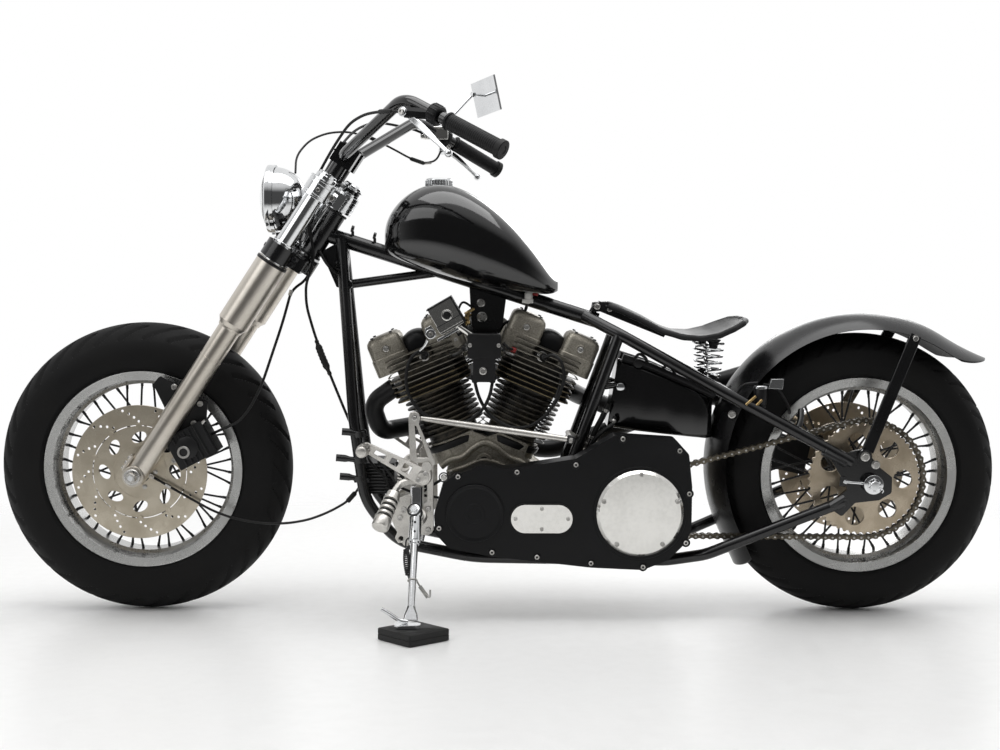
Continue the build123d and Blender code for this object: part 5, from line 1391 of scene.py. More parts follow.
def bar_controls():
    dark, bright, pale, screws = Shape(), Shape(), Shape(), []
    for side in (1, -1):
        way = flipped(GRIP_WAY, side)
        spot = flipped(BAR_END, side) - way * 165
        dark.hoop(spot - way * 12, way, [(0, 13), (0, 19), (2, 20.5), (22, 20.5), (24, 19), (24, 13)], 32)
        for knurl in ring_round(spot, *square_to(way), 20, 12):
            dark.tube([knurl - way * 9, knurl + way * 9], 1.8, 6)
        points = [fork(80.2, 300, 956.1), fork(133.3, 320, 947.8), fork(194.2, 350, 935)] if side > 0 else [
            fork(150.1, -318, 962.4), fork(188.4, -335, 962.2), fork(247.6, -352, 951.9)]
        hub = points[0]
        dark.strap(rounded([spot, spot.lerp(hub, 0.6), hub], 3), (24, 20), way)
        line = rounded(points, 8)
        n = len(line)
        blade = [(9 + 6 * sin(pi * min(1, 1.3 * i / n)), 6) for i in range(n)]
        across = way.cross(points[2] - points[0])
        bright.strap(line, blade, across.cross(points[2] - points[0]))
        bright.turned(points[2] - unit(points[2] - points[1]) * 2, points[2] - points[1],
            [(0, 6), (4, 7.8), (9, 7.8), (13, 5), (14, 2)], 20)
        bright.turned(hub - unit(across) * 13, across, [(0, 8), (1, 9.5), (25, 9.5), (26, 8)], 28)
        screws.append((hub + unit(across) * 13, across, 6))
        screws.append((hub - unit(across) * 13, -across, 6))
        screws.append((spot + unit(spot - hub) * 19, spot - hub, 4.5))
        end = flipped(BAR_END, side)
        for k in range(26):
            at_grip = end - way * (128 - k * 4.6)
            dark.hoop(at_grip, way, [(0, 16), (0.3, 17), (2.3, 17), (2.6, 16)], 28)
        dark.hoop(end - way * 135, way, [(0, 13), (0, 17.5), (2, 19), (5, 19), (7, 17), (7, 15)], 32)
        dark.turned(end + way * 3.6, way, [(0, 19.5), (1.4, 18.5), (1.6, 9), (0.6, 8)], 32)
    tank = fork(117.6, -300, 982.9)
    pale.box(tank, (50, 25, 26)).box(tank + vec(0, 0, 15), (54, 29, 5))
    pale.turned(tank + vec(-24, 0, -4), (-1, 0, -0.1), [(0, 9), (8, 9), (12, 7), (18, 6)], 20)
    dark.turned(fork(152, -322, 969), (0, -1, 0.2), [(-8, 6.5), (0, 8), (10, 8), (12, 6)], 20)
    screws += [(tank + vec(dx, dy, 17.5), UP, 2.6) for dx in (-20, 20) for dy in (-9, 9)]
    dark.piece("control perches", "case paint", "steering", bevel=0.3, instead="levers")
    bright.piece("lever blades", "chrome", "steering", bevel=0.6, instead="levers")
    pale.piece("master cylinder", "polished cover", "steering", bevel=1.6, instead="levers")
    copies("control screws", SOCKET_SCREW, screws, "zinc screw", "steering")


bar_controls()


def clamp_trim():
    dark, screws = Shape(), []
    for left in (48, -48):
        for back in (-16, 16):
            screws.append((fork(back, left, 839.5), FORK_UP, 5.4))
        dark.strap([fork(-24.6, left - 17, 817), fork(-24.6, left + 17, 817)], (5, 5), FORK_UP)
        dark.hoop(fork(0, left, 752), FORK_UP, [(0, 16), (0, 21), (5, 21), (8, 18), (8, 16)], 32)
    dark.strap([fork(0, -30, 841), fork(0, 30, 841)], (46, 6), FORK_BACK)
    dark.piece("bar clamp plates", "satin paint", "steering", bevel=0.8)
    copies("bar clamp screws", SOCKET_SCREW, screws, "black screw", "steering")
    joints = Shape()
    for place in (fork(118.2, -300, 1004), fork(135.5, -318, 1109.2)):
        joints.turned(place - vec(0, 0, 6), (0.1, 0, 1), [(0, 4), (2, 6.5), (8, 7), (12, 5.5), (13, 3)], 18)
    joints.piece("mirror joints", "chrome", "steering", bevel=0.2)


clamp_trim()

# %% [markdown]
# Cables end in metal ferrules and run through rubber sleeves. Their routes are the
# solids' own, so the sleeves are short tubes set on chosen stretches of them.

# %% Cable fittings
def cable_fittings():
    rubber, metal = Shape(), Shape()
    boot = [(-405, 46, 607), (-392, 49.5, 572), (-374, 54, 531)]
    line = rounded(boot, 10)
    rubber.tube(line, [3.4 + (3.6 if 3 < i < len(line) - 4 else 0.6) + 0.9 * (i % 2)
        for i in range(len(line))], 14)
    for a, b, r in ((fork(-6, -184, 883.2), fork(20, -203, 888), 4.6),
            (fork(97.3, -258, 896.9), fork(129.6, -284, 906), 4.8),
            (fork(30.5, 250, 929.7), fork(55.1, 286, 943.4), 4.8), ((-336, 77, 254), (-318, 73.6, 274), 5.6)):
        rubber.tube([a, Vector(a).lerp(Vector(b), 0.1), Vector(a).lerp(Vector(b), 0.9), b],
            [r - 1.4, r, r, r - 1.4], 14)
    for a, b, r in ((fork(129.6, -284, 906), fork(142, -296, 916), 2.8),
            (fork(18, 97, 6), fork(34, 98.4, 8.6), 5.2), (fork(62.4, 102, 11.1), fork(76, 102.5, 11.9), 4.2),
            (fork(68, 38, 580), fork(71, 38, 560), 5), (fork(59.2, 56, 510.4), fork(63, 58.5, 499), 5),
            ((-300, 72.5, 312), (-300, 72.5, 296), 5.4)):
        metal.tube([a, b], r, 6)
    rubber.piece("cable sleeves", "moulded rubber", "steering")
    metal.piece("cable ferrules", "zinc screw", "steering", bevel=0.4)


cable_fittings()

# %% [markdown]
# The forward controls are machined from plate and left bare. Each side has a
# bracket on the frame, a foot peg with rubber rings, and a pedal arm with windows
# cut out to save weight. One side is drawn and mirrored; they replace the solids.

# %% Foot controls
def pierced_arm(foot, tip, half_foot, half_tip, windows):
    """A tapered arm between two points with windows; returns outlines and its plane."""
    u = unit(Vector(tip) - Vector(foot))
    v = unit(Vector(LEFT).cross(u))
    length = (Vector(tip) - Vector(foot)).length
    outline = [(centre + r * cos(a), r * sin(a)) for centre, r, start in ((0, half_foot, 90),
        (length, half_tip, -90)) for a in (radians(start + 22.5 * k) for k in range(9))]
    holes = []
    for start, end in windows:
        a, b = start * length, end * length
        ha = (half_foot + (half_tip - half_foot) * start) - 6
        hb = (half_foot + (half_tip - half_foot) * end) - 5
        holes.append([(a, -ha + 2), (a + 2, -ha), (b - 2, -hb), (b, -hb + 2), (b, hb - 2), (b - 2, hb),
            (a + 2, ha), (a, ha - 2)])
    return outline, holes, u, v


def mirrored_mesh(mesh):
    """A copy of a finished sheet on the machine's other side."""
    copy = mesh.copy()
    c, s = cos(LEAN), sin(LEAN)
    for point in copy.vertices:
        y, z = point.co.y - SHIFT / 1000, point.co.z - LIFT / 1000
        left, up = -y * c - z * s, -y * s + z * c
        point.co.y, point.co.z = left * c - up * s + SHIFT / 1000, left * s + up * c + LIFT / 1000
    return copy


def pair(mesh, name, finish, instead):
    finished(mesh, name + " left", finish, "frame", instead=instead)
    finished(mirrored_mesh(mesh), name + " right", finish, "frame", instead=instead)


def foot_controls():
    plate = [(-152, 350), (-146, 346), (-145, 206), (-150, 198), (-158, 194), (-192, 197), (-201, 190),
        (-208, 178), (-220, 177), (-227, 187), (-222, 200), (-242, 244), (-240, 256), (-214, 276),
        (-196, 282), (-182, 300), (-184, 340), (-176, 352)]
    hollow = [(-166, 312), (-158, 312), (-158, 268), (-166, 262)]
    outlines = [plate, hollow, circle(-214.6, 185.6, 6.5, 20), circle(-186, 224, 8, 20)]
    pair(cut_sheet(outlines, (0, 137, 0), BACK, UP, 10, 0.8), "control bracket", "raw aluminium",
        "forward_controls")
    foot, tip = vec(-168, 170, 326), vec(-284, 192, 392)
    outline, holes, u, v = pierced_arm(foot, tip, 18, 9.5, [(0.2, 0.36), (0.42, 0.58), (0.66, 0.86)])
    pair(cut_sheet([outline, *holes], foot, u, v, 7, 1), "pedal arm", "raw aluminium", "forward_controls")
    bare, rubber = Shape(), Shape()
    bare.tube([(-268, 98, 226), (-226, 134, 240)], 9, 20).tube([(-206, 98, 168), (-198, 134, 200)], 9, 20)
    bare.turned((-168, 140, 326), LEFT, [(0, 21), (20, 21), (21, 20), (24, 20), (25.5, 18.5)], 40)
    bare.turned((-168, 173, 326), LEFT, [(0, 16), (2, 15), (2.6, 9), (1.4, 8)], 32)
    bare.strap(rounded([(-168, 158, 318), (-190, 168, 316), (-212, 180, 312), (-222, 192, 304),
        (-228, 202, 296)], 5), [(20 - 0.35 * i, 11) for i in range(21)], UP)
    peg_foot, peg_end = vec(-225, 199, 297), vec(-252, 262, 234)
    way = unit(peg_end - peg_foot)
    bare.turned(peg_foot, way, [(0, 10), (3, 14.5), (8, 15), (66, 15), (68, 17.5), (70, 18.5), (88, 18.5),
        (92, 17), (93.5, 14), (94, 6)], 36)
    for k in range(4):
        bare.hoop(peg_foot + way * (16 + k * 13), way, [(0, 14.5), (0.8, 17.2), (6.4, 17.2), (7.2, 14.5)], 32)
        rubber.hoop(peg_foot + way * (23.6 + k * 13), way, [(0, 14.5), (0.4, 15.8), (4.6, 15.8), (5, 14.5)],
            32)
    toe, toe_end = vec(-284, 184, 392), vec(-292, 240, 388)
    way = unit(toe_end - toe)
    bare.turned(toe, way, [(0, 8), (4, 10), (20, 10), (22, 12.5), (52, 12.5), (56, 11.5), (58, 9), (58.6, 4)],
        32)
    for knurl in ring_round(toe, *square_to(way), 12.4, 14):
        bare.tube([knurl + way * 24, knurl + way * 40], 1.5, 6)
    bare.both_sides().piece("pegs and pivots", "raw aluminium", bevel=0.4, instead="forward_controls")
    rubber.both_sides().piece("peg rings", "moulded rubber")
    spots = []
    for x, z, left, size in ((-208, 248.9, 142, 6.4), (-216.6, 231.5, 142, 6.4), (-156, 251.3, 142, 6),
            (-156, 205.4, 142, 6), (-161, 334, 175, 5), (-176, 320, 175, 5), (-168, 344, 165, 3.6)):
        spots += [((x, side * left, z), (0, side, 0), size) for side in (1, -1)]
    copies("control screws left and right", SOCKET_SCREW, spots)


foot_controls()

# %% [markdown]
# From the pedal shaft an open A-shaped lever rises behind the leg, and a tapered
# rod with knurled black joints runs back from its eye to the gearbox.

# %% Shift linkage
def shift_linkage():
    lever = [(-196, 452), (-193, 462), (-184, 465), (-176, 461), (-173, 451), (-176, 438), (-140, 354),
        (-148, 346), (-158, 350), (-163, 357), (-178, 356), (-186, 346), (-192, 348), (-193, 360)]
    window = [(-185, 438), (-179, 434), (-154, 366), (-180, 366)]
    plate = cut_sheet([lever, window, circle(-184.5, 452, 4.6, 16)], (0, 168, 0), BACK, UP, 6.6, 0.8)
    finished(plate, "rising lever", "raw aluminium", "frame", instead="shift_linkage")
    bare, dark = Shape(), Shape()
    a, b = vec(-172, 153, 449), vec(140, 153, 405)
    line = [a.lerp(b, t / 12) for t in range(13)]
    bare.tube(line, [4.6, 5.6, 6.4, 7, 7.4, 7.6, 7.7, 7.6, 7.5, 7.3, 7, 6.6, 6.2], 20)
    bare.tube([(-184.5, 146, 452), (-184.5, 174, 452)], 4.4, 16)
    bare.tube([(148, 158, 404), (148, 44, 405)], 5, 16)
    bare.strap([(148, 46, 405), (206, 44, 362)], (15, 8), UP)
    bare.tube([(-158, 160, 348), (-158, 176, 348)], 11, 24)
    dark.turned((140, 153, 405), b - a, [(0, 6.4), (2, 8.6), (14, 8.6), (16, 6)], 16)
    dark.turned((148, 146, 404), LEFT, [(0, 8.6), (2, 9.4), (12, 9.4), (14, 8)], 24)
    dark.turned(a - unit(b - a) * 15, b - a, [(0, 6), (2, 8.2), (12, 8.2), (14, 5)], 16)
    dark.turned((-184.5, 146, 452), LEFT, [(0, 8), (2, 9), (11, 9), (13, 7)], 24)
    for knurl in ring_round((141.5, 153, 404.8), *square_to(b - a), 8.4, 10):
        dark.tube([knurl, knurl + vec(11.5, 0, -1.6)], 1.1, 5)
    bare.piece("shift rod", "raw aluminium", bevel=0.3, instead="shift_linkage")
    dark.piece("rod joints", "black screw", bevel=0.3)
    ends = [((-184.5, 171.4, 452), LEFT, 5), ((148, 160, 404), LEFT, 4.6), ((-122.1, 166, 324.3), LEFT, 5.4)]
    copies("linkage nuts", HEX_SCREW, ends)
    ring = Shape().hoop((-122.1, 164.8, 324.3), LEFT, [(0, 8.4), (0, 11), (2.4, 11), (2.4, 8.4)], 28)
    ring.piece("pivot ring", "black screw", bevel=0.2)


shift_linkage()

# %% [markdown]
# The side stand is chromed: a housing with two dark screw heads, a round leg that
# widens to a flat fork, a foot plate and a kick tab. A dark coil spring and a wire
# clip hang beside it and swing with it, because they hook on its own housing.

# %% Side stand
STAND_PIVOT = vec(-181, 178, 250)
STAND_FOOT = vec(-184, 345, 57.12)
LEG_WAY = unit(STAND_FOOT - STAND_PIVOT)
STAND_AXIS = unit(vec(LEG_WAY.x, -LEG_WAY.y, LEG_WAY.z).cross(vec(0.975, -0.18, 0.13)))
STAND_AXIS = vec(STAND_AXIS.x, -STAND_AXIS.y, STAND_AXIS.z)


def side_stand():
    leg, dark, screws = Shape(), Shape(), []
    across = unit(LEG_WAY.cross(STAND_AXIS))
    leg.hoop(STAND_PIVOT - STAND_AXIS * 12.6, STAND_AXIS, [(0, 6.4), (0, 14), (1.4, 15), (23.8, 15),
        (25.2, 14), (25.2, 6.4)], 36)
    leg.turned(STAND_PIVOT + LEG_WAY * 10, LEG_WAY, [(0, 11), (2, 13), (58, 13), (60, 12), (60.4, 10.5),
        (66, 10.5), (67, 9)], 32)
    length = (STAND_FOOT - STAND_PIVOT).length
    leg.turned(STAND_PIVOT + LEG_WAY * 60, LEG_WAY, [(0, 8), (length - 96, 8)], 24)
    leg.strap([STAND_PIVOT + LEG_WAY * (length - s) for s in (40, 30, 18, 6)],
        [(15, 15), (19, 13), (27, 9), (30, 7)], BACK)
    c, s = cos(LEAN), sin(LEAN)
    flat_left, flat_up = vec(0, c, s), vec(0, -s, c)
    foot = STAND_FOOT + vec(-6, 0, 0) - flat_up * 5
    leg.raised([(-26, -12), (-20, -18), (18, -17), (26, -9), (26, 9), (18, 17), (-20, 18), (-26, 12)],
        foot + flat_up * 3.4, BACK, flat_left, -6.8)
    tab = rounded([STAND_FOOT + vec(-6, -4, 2), (-206, 345, 63), (-226, 345, 76), (-243, 345, 86.4)], 5)
    leg.tube(tab, [4.6 - 0.05 * i for i in range(len(tab))], 14)
    leg.piece("stand leg", "chrome", "side_stand", bevel=0.4, instead="side_stand")
    for along in (30, 52):
        spot = STAND_PIVOT + LEG_WAY * along + unit(Vector(LEFT) - LEG_WAY * LEG_WAY.y) * 12.6
        screws.append((spot, Vector(LEFT) - LEG_WAY * LEG_WAY.y, 2.6))
    copies("stand screws", SOCKET_SCREW, screws, "black screw", "side_stand")
    side = vec(-1, 0, 0)
    hook, tail = STAND_PIVOT + LEG_WAY * 66 + side * 13, STAND_PIVOT + LEG_WAY * 158 + side * 6.5
    start, end = hook.lerp(tail, 0.22) + side * 5, hook.lerp(tail, 0.88) + side * 3
    turns, steps = 13, 10
    u, v = square_to(end - start)
    coil = []
    for k in range(turns * steps + 1):
        t = k / (turns * steps)
        r = 3.2 + 3.6 * sin(pi * min(1, 0.12 + t * 0.8))
        a = 2 * pi * k / steps
        coil.append(start.lerp(end, t) + (u * cos(a) + v * sin(a)) * r)
    dark.tube(coil, 1.8, 5)
    dark.bent([hook - LEG_WAY * 6 + side * -1, hook + side * 4, hook.lerp(start, 0.5) + side * 3, start],
        1.7, 8, 5)
    dark.bent([end, end.lerp(tail, 0.5), tail], 1.7, 8, 4)
    dark.piece("stand spring", "black screw", "side_stand")
    clip, at_leg = Shape(), STAND_PIVOT + LEG_WAY * 160
    ring = [at_leg + (across * cos(a) + STAND_AXIS * sin(a)) * 9.6 for a in (pi * k / 6 for k in range(11))]
    clip.tube(ring, 1.6, 8)
    clip.bent([at_leg + vec(9, 4, 0), at_leg + vec(17, 8, -12), at_leg + vec(28, 12, -26),
        at_leg + vec(36, 14, -30), at_leg + vec(37, 12, -16)], 2, 8, 5)
    clip.strap([at_leg + vec(15, 6, -10), at_leg + vec(32, 12, -32)], (8, 2.4), (0.5, 0, 0.4))
    clip.piece("stand clip", "zinc screw", "side_stand")
    cheeks = Shape()
    cheeks.turned(STAND_PIVOT + STAND_AXIS * 13.2, STAND_AXIS, [(0, 6.4), (0, 12), (2.4, 12), (3, 8), (5, 8)],
        28)
    cheeks.turned(STAND_PIVOT - STAND_AXIS * 14.4, -STAND_AXIS, [(0, 16), (1, 18), (10, 18), (11, 16)], 32)
    cheeks.strap([(-181, 146, 300), (-181, 150, 262), (-181, 160, 246)], (26, 10), BACK)
    cheeks.piece("stand hinge", "chrome", bevel=0.6)
    collar = Shape().hoop(STAND_PIVOT + STAND_AXIS * 12.8, STAND_AXIS,
        [(0, 12.2), (0, 15.6), (1.2, 15.6), (1.2, 12.2)], 32)
    collar.piece("hinge ring", "black screw", "side_stand")


side_stand()


def pad_trim():
    """A bevelled rubber mat on the block under the stand."""
    c, s = cos(radians(42)), sin(radians(42))
    pad = Shape().loft([[vec(-178 + a * c - b * s, -352 + SHIFT + a * s + b * c, z)
        for a, b in rounded_box(half, half, 4)] for half, z in ((50.5, 0.2), (52, 1.5), (52, 11.4),
        (51.2, 12), (51.2, 12.6), (52, 13.2), (52, 22.5), (50.8, 23.8))])
    mesh = bpy.data.meshes.new("pad")
    mesh.from_pydata([p / 1000 for p in pad.points], [], pad.faces)
    finished(mesh, "rubber pad", "moulded rubber", "frame", instead="stand_pad")


pad_trim()

# %% [markdown]
# The rear axle is closed by a washer, a castle nut and a cotter pin, and a bright
# adjuster rod ends beside it. The exhaust on the far side has a polished tip, and
# on the stay sits a small fluid pot with its hoses.

# %% Rear axle and stays
def rear_fittings():
    x, z = REAR_AXLE
    bright, dark = Shape(), Shape()
    for way in (1, -1):
        bright.hoop((x, way * 176, z), (0, way, 0), [(0, 9), (0, 20), (0.6, 20.8), (2, 20.8), (2.6, 20),
            (2.6, 9)], 40)
        bright.hoop((x, way * 178.6, z), (0, way, 0), [(0, 9), (0, 15.5), (4.6, 15.5), (5.2, 14.4), (5.2, 9)],
            6)
        for a in angles(6, 0.5):
            spot = vec(x + 11.4 * cos(a), way * 184.6, z + 11.4 * sin(a))
            bright.box(spot, (4.2, 5.4, 4.2), (cos(a), 0, sin(a)), LEFT)
        bright.turned((x, way * 180, z), (0, way, 0), [(0, 9.6), (8, 9.6), (9.4, 8.2), (9.6, 3)], 28)
        bright.tube([(x - 13, way * 185.4, z + 4), (x + 17, way * 185.4, z - 7)], 1.5, 8)
        bright.bent([(x + 15, way * 185.4, z - 6), (x + 19, way * 184, z - 12), (x + 17, way * 182, z - 17)],
            1.2, 8, 4)
        bright.tube([(732, way * 161, 316.5), (775, way * 161, 313)], 3.3, 14)
        bright.turned((734, way * 161, 316.3), (1, 0, -0.08), [(0, 6.4), (5, 6.4)], 6)
        dark.strap([(724, way * 160, 317.6), (738, way * 160, 316)], (22, 6), UP)
    bright.piece("axle nuts", "chrome", bevel=0.3)
    for way in (1, -1):
        for a, b in (((690, 380), (738, 354)), ((706, 262), (738, 282))):
            dark.strap([(a[0], way * 153, a[1]), (b[0], way * 153, b[1])], (24, 17), LEFT)
        dark.bent([(640, way * 116, 420), (650, way * 104, 440), (655, way * 86, 462)], 7, 14, 4)
    dark.piece("stay ends", "frame paint", bevel=1.2)
    bolts = []
    for way in (1, -1):
        bolts += [((776.3, way * 166, 371.8), (0, way, 0), 8), ((801.6, way * 158, 353), (0, way, 0), 7.4),
            ((896, way * 98.6, 620), (0, way, 0), 6.4), ((503.7, way * 87, 451.8), (0, way, 0), 6.8)]
    copies("stay bolts", HEX_SCREW, bolts)
    way = unit(vec(262, -6, -86))
    end = vec(782, -192, 384)
    tip = Shape().hoop(end - way * 112, way, [(0, 21.1), (2, 23), (108, 23), (112, 22), (112, 18.5),
        (60, 18.5), (60, 21.1)], 40)
    tip.hoop(end - way * 118, way, [(0, 21.1), (0, 24.6), (9, 24.6), (9, 21.1)], 36)
    tip.piece("exhaust tip", "polished cover")
    pot, lid, hoses, brass = Shape(), Shape(), Shape(), Shape()
    pot.turned((560, 112, 470), UP, [(0, 9), (8, 14), (40, 14.5), (42, 13)], 28)
    pot.strap([(556, 124, 462), (560, 116, 478)], (24, 8), BACK)
    pot.bent([(560, 112, 474), (536, 110, 478), (512, 104, 494), (524, 100, 516), (556, 100, 522)],
        3.4, 10, 6)
    pot.bent([(566, 112, 520), (596, 106, 512), (620, 96, 480), (636, 60, 452), (640, -10, 444),
        (650, -80, 430)], 3.2, 10, 6)
    lid.turned((560, 112, 511), UP, [(0, 15.6), (5, 15.6), (7, 14), (8, 5)], 28)
    lid.raised([(-16, -8), (15, -12), (17, 10), (-10, 12)], (592, 118, 521), (1, 0, 0.1), UP, 16)
    brass.tube([(546, 130, 496), (524, 136, 478)], 3.2, 12).tube([(560, 128, 488), (540, 136, 470)], 3.2, 12)
    brass.piece("brake fittings", "brass")
    pot.piece("fluid pot", "satin paint")
    lid.piece("pot lid", "chrome", bevel=0.6)
    hoses.bent([(236, 60, 470), (222, 66, 440), (206, 64, 408), (196, 50, 372)], 6.4, 14, 6)
    hoses.bent([(250, 60, 440), (244, 76, 426), (226, 80, 414), (206, 70, 392), (190, 56, 360)], 5.2, 14, 6)
    hoses.piece("oil hoses", "cable sheath")
    clips = Shape()
    for spot, way, r in (((230, 63, 456), (-0.4, 0, -1), 7.4), ((202, 60, 396), (-0.3, 0, -1), 7.4),
            ((247, 70, 433), (-0.4, 0.6, -1), 6.2)):
        clips.hoop(spot, way, [(-3, r - 1), (-3, r), (3, r), (3, r - 1)], 20)
        clips.box(Vector(spot) + vec(0, r + 1.5, 0), (6, 4, 6))
    clips.piece("hose clips", "zinc screw", bevel=0.2)


rear_fittings()

# %% [markdown]
# The solo seat is a thin pan of glossy black. Thickness is what makes it look
# right: eight millimetres, with a rolled bead round its edge. It hinges on a
# bracket in front and rests on two open conical springs.

# %% Seat
SEAT_LINE = [   # x, height at the middle, half width, rise of the edge
    (238, 689, 14, -4), (244, 688, 24, -4), (262, 682, 34, -4), (306, 662, 54, -4), (350, 638, 76, -3),
    (392, 623, 98, 0), (432, 616, 114, 4), (468, 620, 120, 7), (500, 632, 110, 8), (524, 645, 88, 6),
    (536, 651, 52, 4), (540, 653, 16, 2)]


def seat_pan():
    rows, cells = [], 24
    dense = []
    for a, b in zip(SEAT_LINE, SEAT_LINE[1:]):
        dense += [tuple(p + (q - p) * t / 3 for p, q in zip(a, b)) for t in range(3)]
    dense.append(SEAT_LINE[-1])
    for x, mid, half, rise in dense:
        rows.append([(x, half * (2 * k / cells - 1), mid + rise * abs(2 * k / cells - 1) ** 2.4 * 1.2)
            for k in range(cells + 1)])
    mesh = bpy.data.meshes.new("seat")
    points = [stand(p) for row in rows for p in row]
    n = cells + 1
    faces = [(i * n + k, i * n + k + 1, (i + 1) * n + k + 1, (i + 1) * n + k) for i in range(len(rows) - 1)
        for k in range(cells)]
    mesh.from_pydata(points, [], faces)
    pan = in_scene("pan", mesh)
    soft = pan.modifiers.new("smooth", "SUBSURF")
    soft.levels = soft.render_levels = 1
    wall = pan.modifiers.new("wall", "SOLIDIFY")
    wall.thickness, wall.offset = 0.008, 0
    made = bpy.data.meshes.new_from_object(pan.evaluated_get(bpy.context.evaluated_depsgraph_get()))
    bpy.data.objects.remove(pan)
    finished(made, "seat pan", "seat lacquer", "frame", smooth=50, instead="seat")
    edge = [rows[i][0] for i in range(len(rows))] + [rows[-1][k] for k in range(1, n)] + [rows[i][-1]
        for i in range(len(rows) - 2, -1, -1)] + [rows[0][k] for k in range(cells - 1, 0, -1)]
    bead = Shape()
    edge = [Vector(p) for p in edge]
    line = rounded(edge + [edge[0]], 3)
    bead.tube([p - vec(0, 0, 2.5) for p in line], 6.6, 12)
    bead.piece("seat bead", "seat lacquer")
    print("seat rows:", len(rows))


seat_pan()


def seat_fittings():
    bright, dark = Shape(), Shape()
    for left in (76, -76):
        coil = []
        for k in range(5 * 20 + 1):
            t = k / 100
            r, a = 15 + 7 * t, 2 * pi * k / 20
            coil.append((462 + r * cos(a), left + r * sin(a), 535 + 70 * t))
        bright.tube(coil, 2.6, 8)
        dark.turned((462, left, 503), UP, [(0, 12), (8, 12.5), (26, 12.5), (30, 10), (38, 7)], 24)
        dark.turned((462, left, 592), UP, [(0, 5), (4, 9), (14, 10), (20, 16), (22, 16)], 24)
    bright.piece("seat coils", "chrome", instead="seat_springs")
    for left in (16, -16):
        dark.raised([(-22, -8), (20, -6), (30, 6), (12, 14), (-18, 12)], (222, left + 2, 678), BACK, UP, 4)
    dark.tube([(212, -22, 683), (212, 22, 683)], 7, 18)
    dark.strap(rounded([(230, 0, 683), (262, 0, 674), (306, 0, 654), (350, 0, 630), (385, 0, 617)], 3),
        (40, 7), LEFT)
    dark.piece("seat mounts", "satin paint", bevel=0.6)
    copies("seat bolts", HEX_SCREW, [((212, 22, 683), LEFT, 6), ((212, -22, 683), (0, -1, 0), 6),
        ((240, 18.4, 676), LEFT, 4.4)])


seat_fittings()
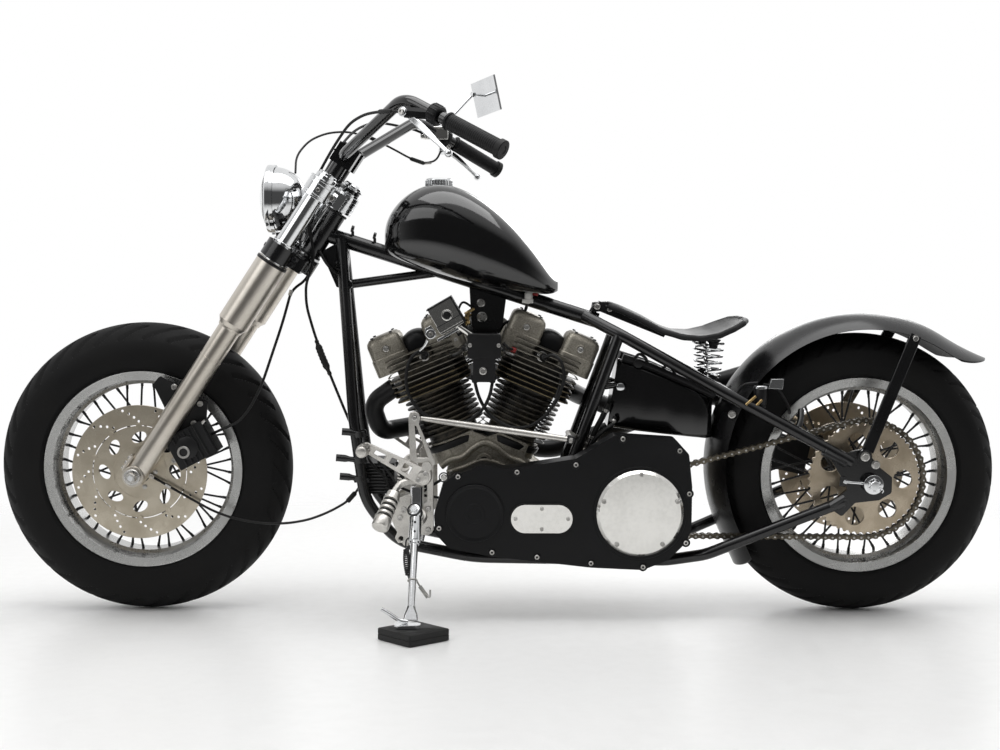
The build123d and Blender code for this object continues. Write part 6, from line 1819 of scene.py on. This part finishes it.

# %% [markdown]
# A few fittings are left for the frame and the tank: cable eyes on the backbone, a
# filled corner behind the steering head, clips, the regulator's ribs, bolts beside
# the oil tank, and a knurled rim and collar for the filler cap. The three dark clips
# and their nuts on the front of the down tube are painted shade: they put dark where
# the controls on the far side lie in shade.

# %% Frame and tank fittings
def frame_fittings():
    dark, bright = Shape(), Shape()
    for x, z in ((-327.6, 838), (-279.2, 823)):
        dark.tube([(x, 6, z - 6), (x, 8, z + 7)], 3.4, 10)
        dark.hoop((x, 9, z + 12), (1, 0, -0.3), [(-3, 4.4), (-3, 7.4), (3, 7.4), (3, 4.4)], 18)
    dark.raised([(-392, 802), (-350, 826), (-336, 790), (-340, 700), (-366, 742)], (0, 12, 0), BACK, UP, 24)
    dark.turned((-352, 13, 770), LEFT, [(0, 13), (8, 13), (11, 8)], 28)
    # Painted shade: three dark clips on the down tube, where the controls on the far side lie in shade.
    for x, z in ((-338.9, 410.1), (-352, 352.9), (-344, 312)):
        dark.bent([(-300, 92, z - 6), (x + 14, 96, z), (x - 6, 98, z + 2)], [6] * 4 + [8] * 5, 14, 4)
        dark.hoop((-306, 88, z - 4), (0.2, 0, -1), [(-6, 13), (-6, 15.4), (6, 15.4), (6, 13)], 28)
    for k in range(11):
        dark.box((-299.5, 0, 272 + k * 6), (7, 106, 2.4))
    for k in range(9):
        dark.box((-266, 56.6, 274 + k * 7), (58, 6, 2.6))
    dark.piece("frame fittings", "frame paint", bevel=0.6)
    for left in (60, -60):
        bright.turned((262, left * 1.02, 508), (0, math.copysign(1, left), 0), [(0, 9), (3, 9), (4, 7)], 24)
    bright.hoop((-138, 0, 929), (0.18, 0, 1), [(0, 29), (0, 33), (2, 34), (6, 33.4), (8, 29)], 48)
    bright.turned((-138, 0, 957), UP, [(0, 29.4), (2.4, 28.6), (4.4, 25), (5, 12)], 48)
    for x, left in circle(-138, 0, 29.2, 30):
        bright.tube([(x, left, 938), (x, left, 956)], 1.5, 6)
    bright.piece("filler collar", "chrome", bevel=0.3)
    # These nuts belong to the same painted shade as the dark clips.
    nuts = [((x, 92.6, z), LEFT, 5) for x, z in ((-300, 404), (-296, 346), (-292, 304))]
    copies("frame nuts", HEX_SCREW, nuts, "black screw")
    wires = Shape()
    wires.bent([(-262, 50, 330), (-250, 72, 300), (-236, 78, 270), (-216, 76, 250), (-190, 72, 262),
        (-150, 70, 290)], 3, 8, 6)
    wires.bent([(-270, 52, 340), (-246, 66, 318), (-228, 80, 290), (-222, 84, 258), (-200, 80, 232)], 3, 8, 6)
    wires.bent([(-230, 40, 336), (-216, 60, 306), (-196, 66, 292), (-160, 62, 286), (-130, 58, 300)],
        3.4, 8, 6)
    wires.bent([(-400, 20, 800), (-380, 30, 770), (-350, 26, 740), (-330, 20, 700), (-322, 30, 640)],
        3.2, 8, 6)
    wires.piece("frame wires", "cable sheath")


frame_fittings()

# %% [markdown]
# The oil box is a glossy tank between the seat post and the fender, with upright
# corners so round that they mirror the room in dark stripes. Its outline is
# lofted from front to back, and a tray with a strap closes the gap above it.

# %% Oil box
def oil_box():
    box, rings = Shape(), []
    low = [(236, 417), (300, 409), (360, 403), (420, 397), (452, 394), (466, 394)]
    high = [(258, 569), (300, 556), (360, 533), (420, 506), (452, 492), (466, 486)]
    half = [38, 54, 60, 62, 60, 50]
    for (xl, zl), (xh, zh), w in zip(low, high, half):
        rings.append([vec(xl + (xh - xl) * (b + 50) / 100, a, zl + (zh - zl) * (b + 50) / 100)
            for a, b in rounded_box(w, 50, 9, 4)])
    box.loft(rings)
    for way in (1, -1):
        box.tube([(258, way * 50, 512), (216, way * 69, 508)], 7, 16)
    box.piece("oil tank", "tank paint", bevel=1.5, smooth=50, instead="oil_box")
    tray = Shape()
    for way in (1, -1):
        tray.strap([(268, way * 40, 572), (330, way * 44, 552), (400, way * 46, 522), (470, way * 44, 490)],
            (44, 16), LEFT)
    for t in (0.12, 0.42, 0.75):
        x, z = 268 + 202 * t, 572 - 82 * t
        tray.bent([(x, 52, z + 6), (x + 10, 60, z + 18), (x + 24, 58, z + 10), (x + 30, 50, z - 4)],
            3.4, 10, 4)
    tray.turned((300, 60, 560), LEFT, [(0, 10), (8, 10), (9, 8)], 20)
    tray.piece("tank tray", "satin paint", bevel=1)


oil_box()

# %% [markdown]
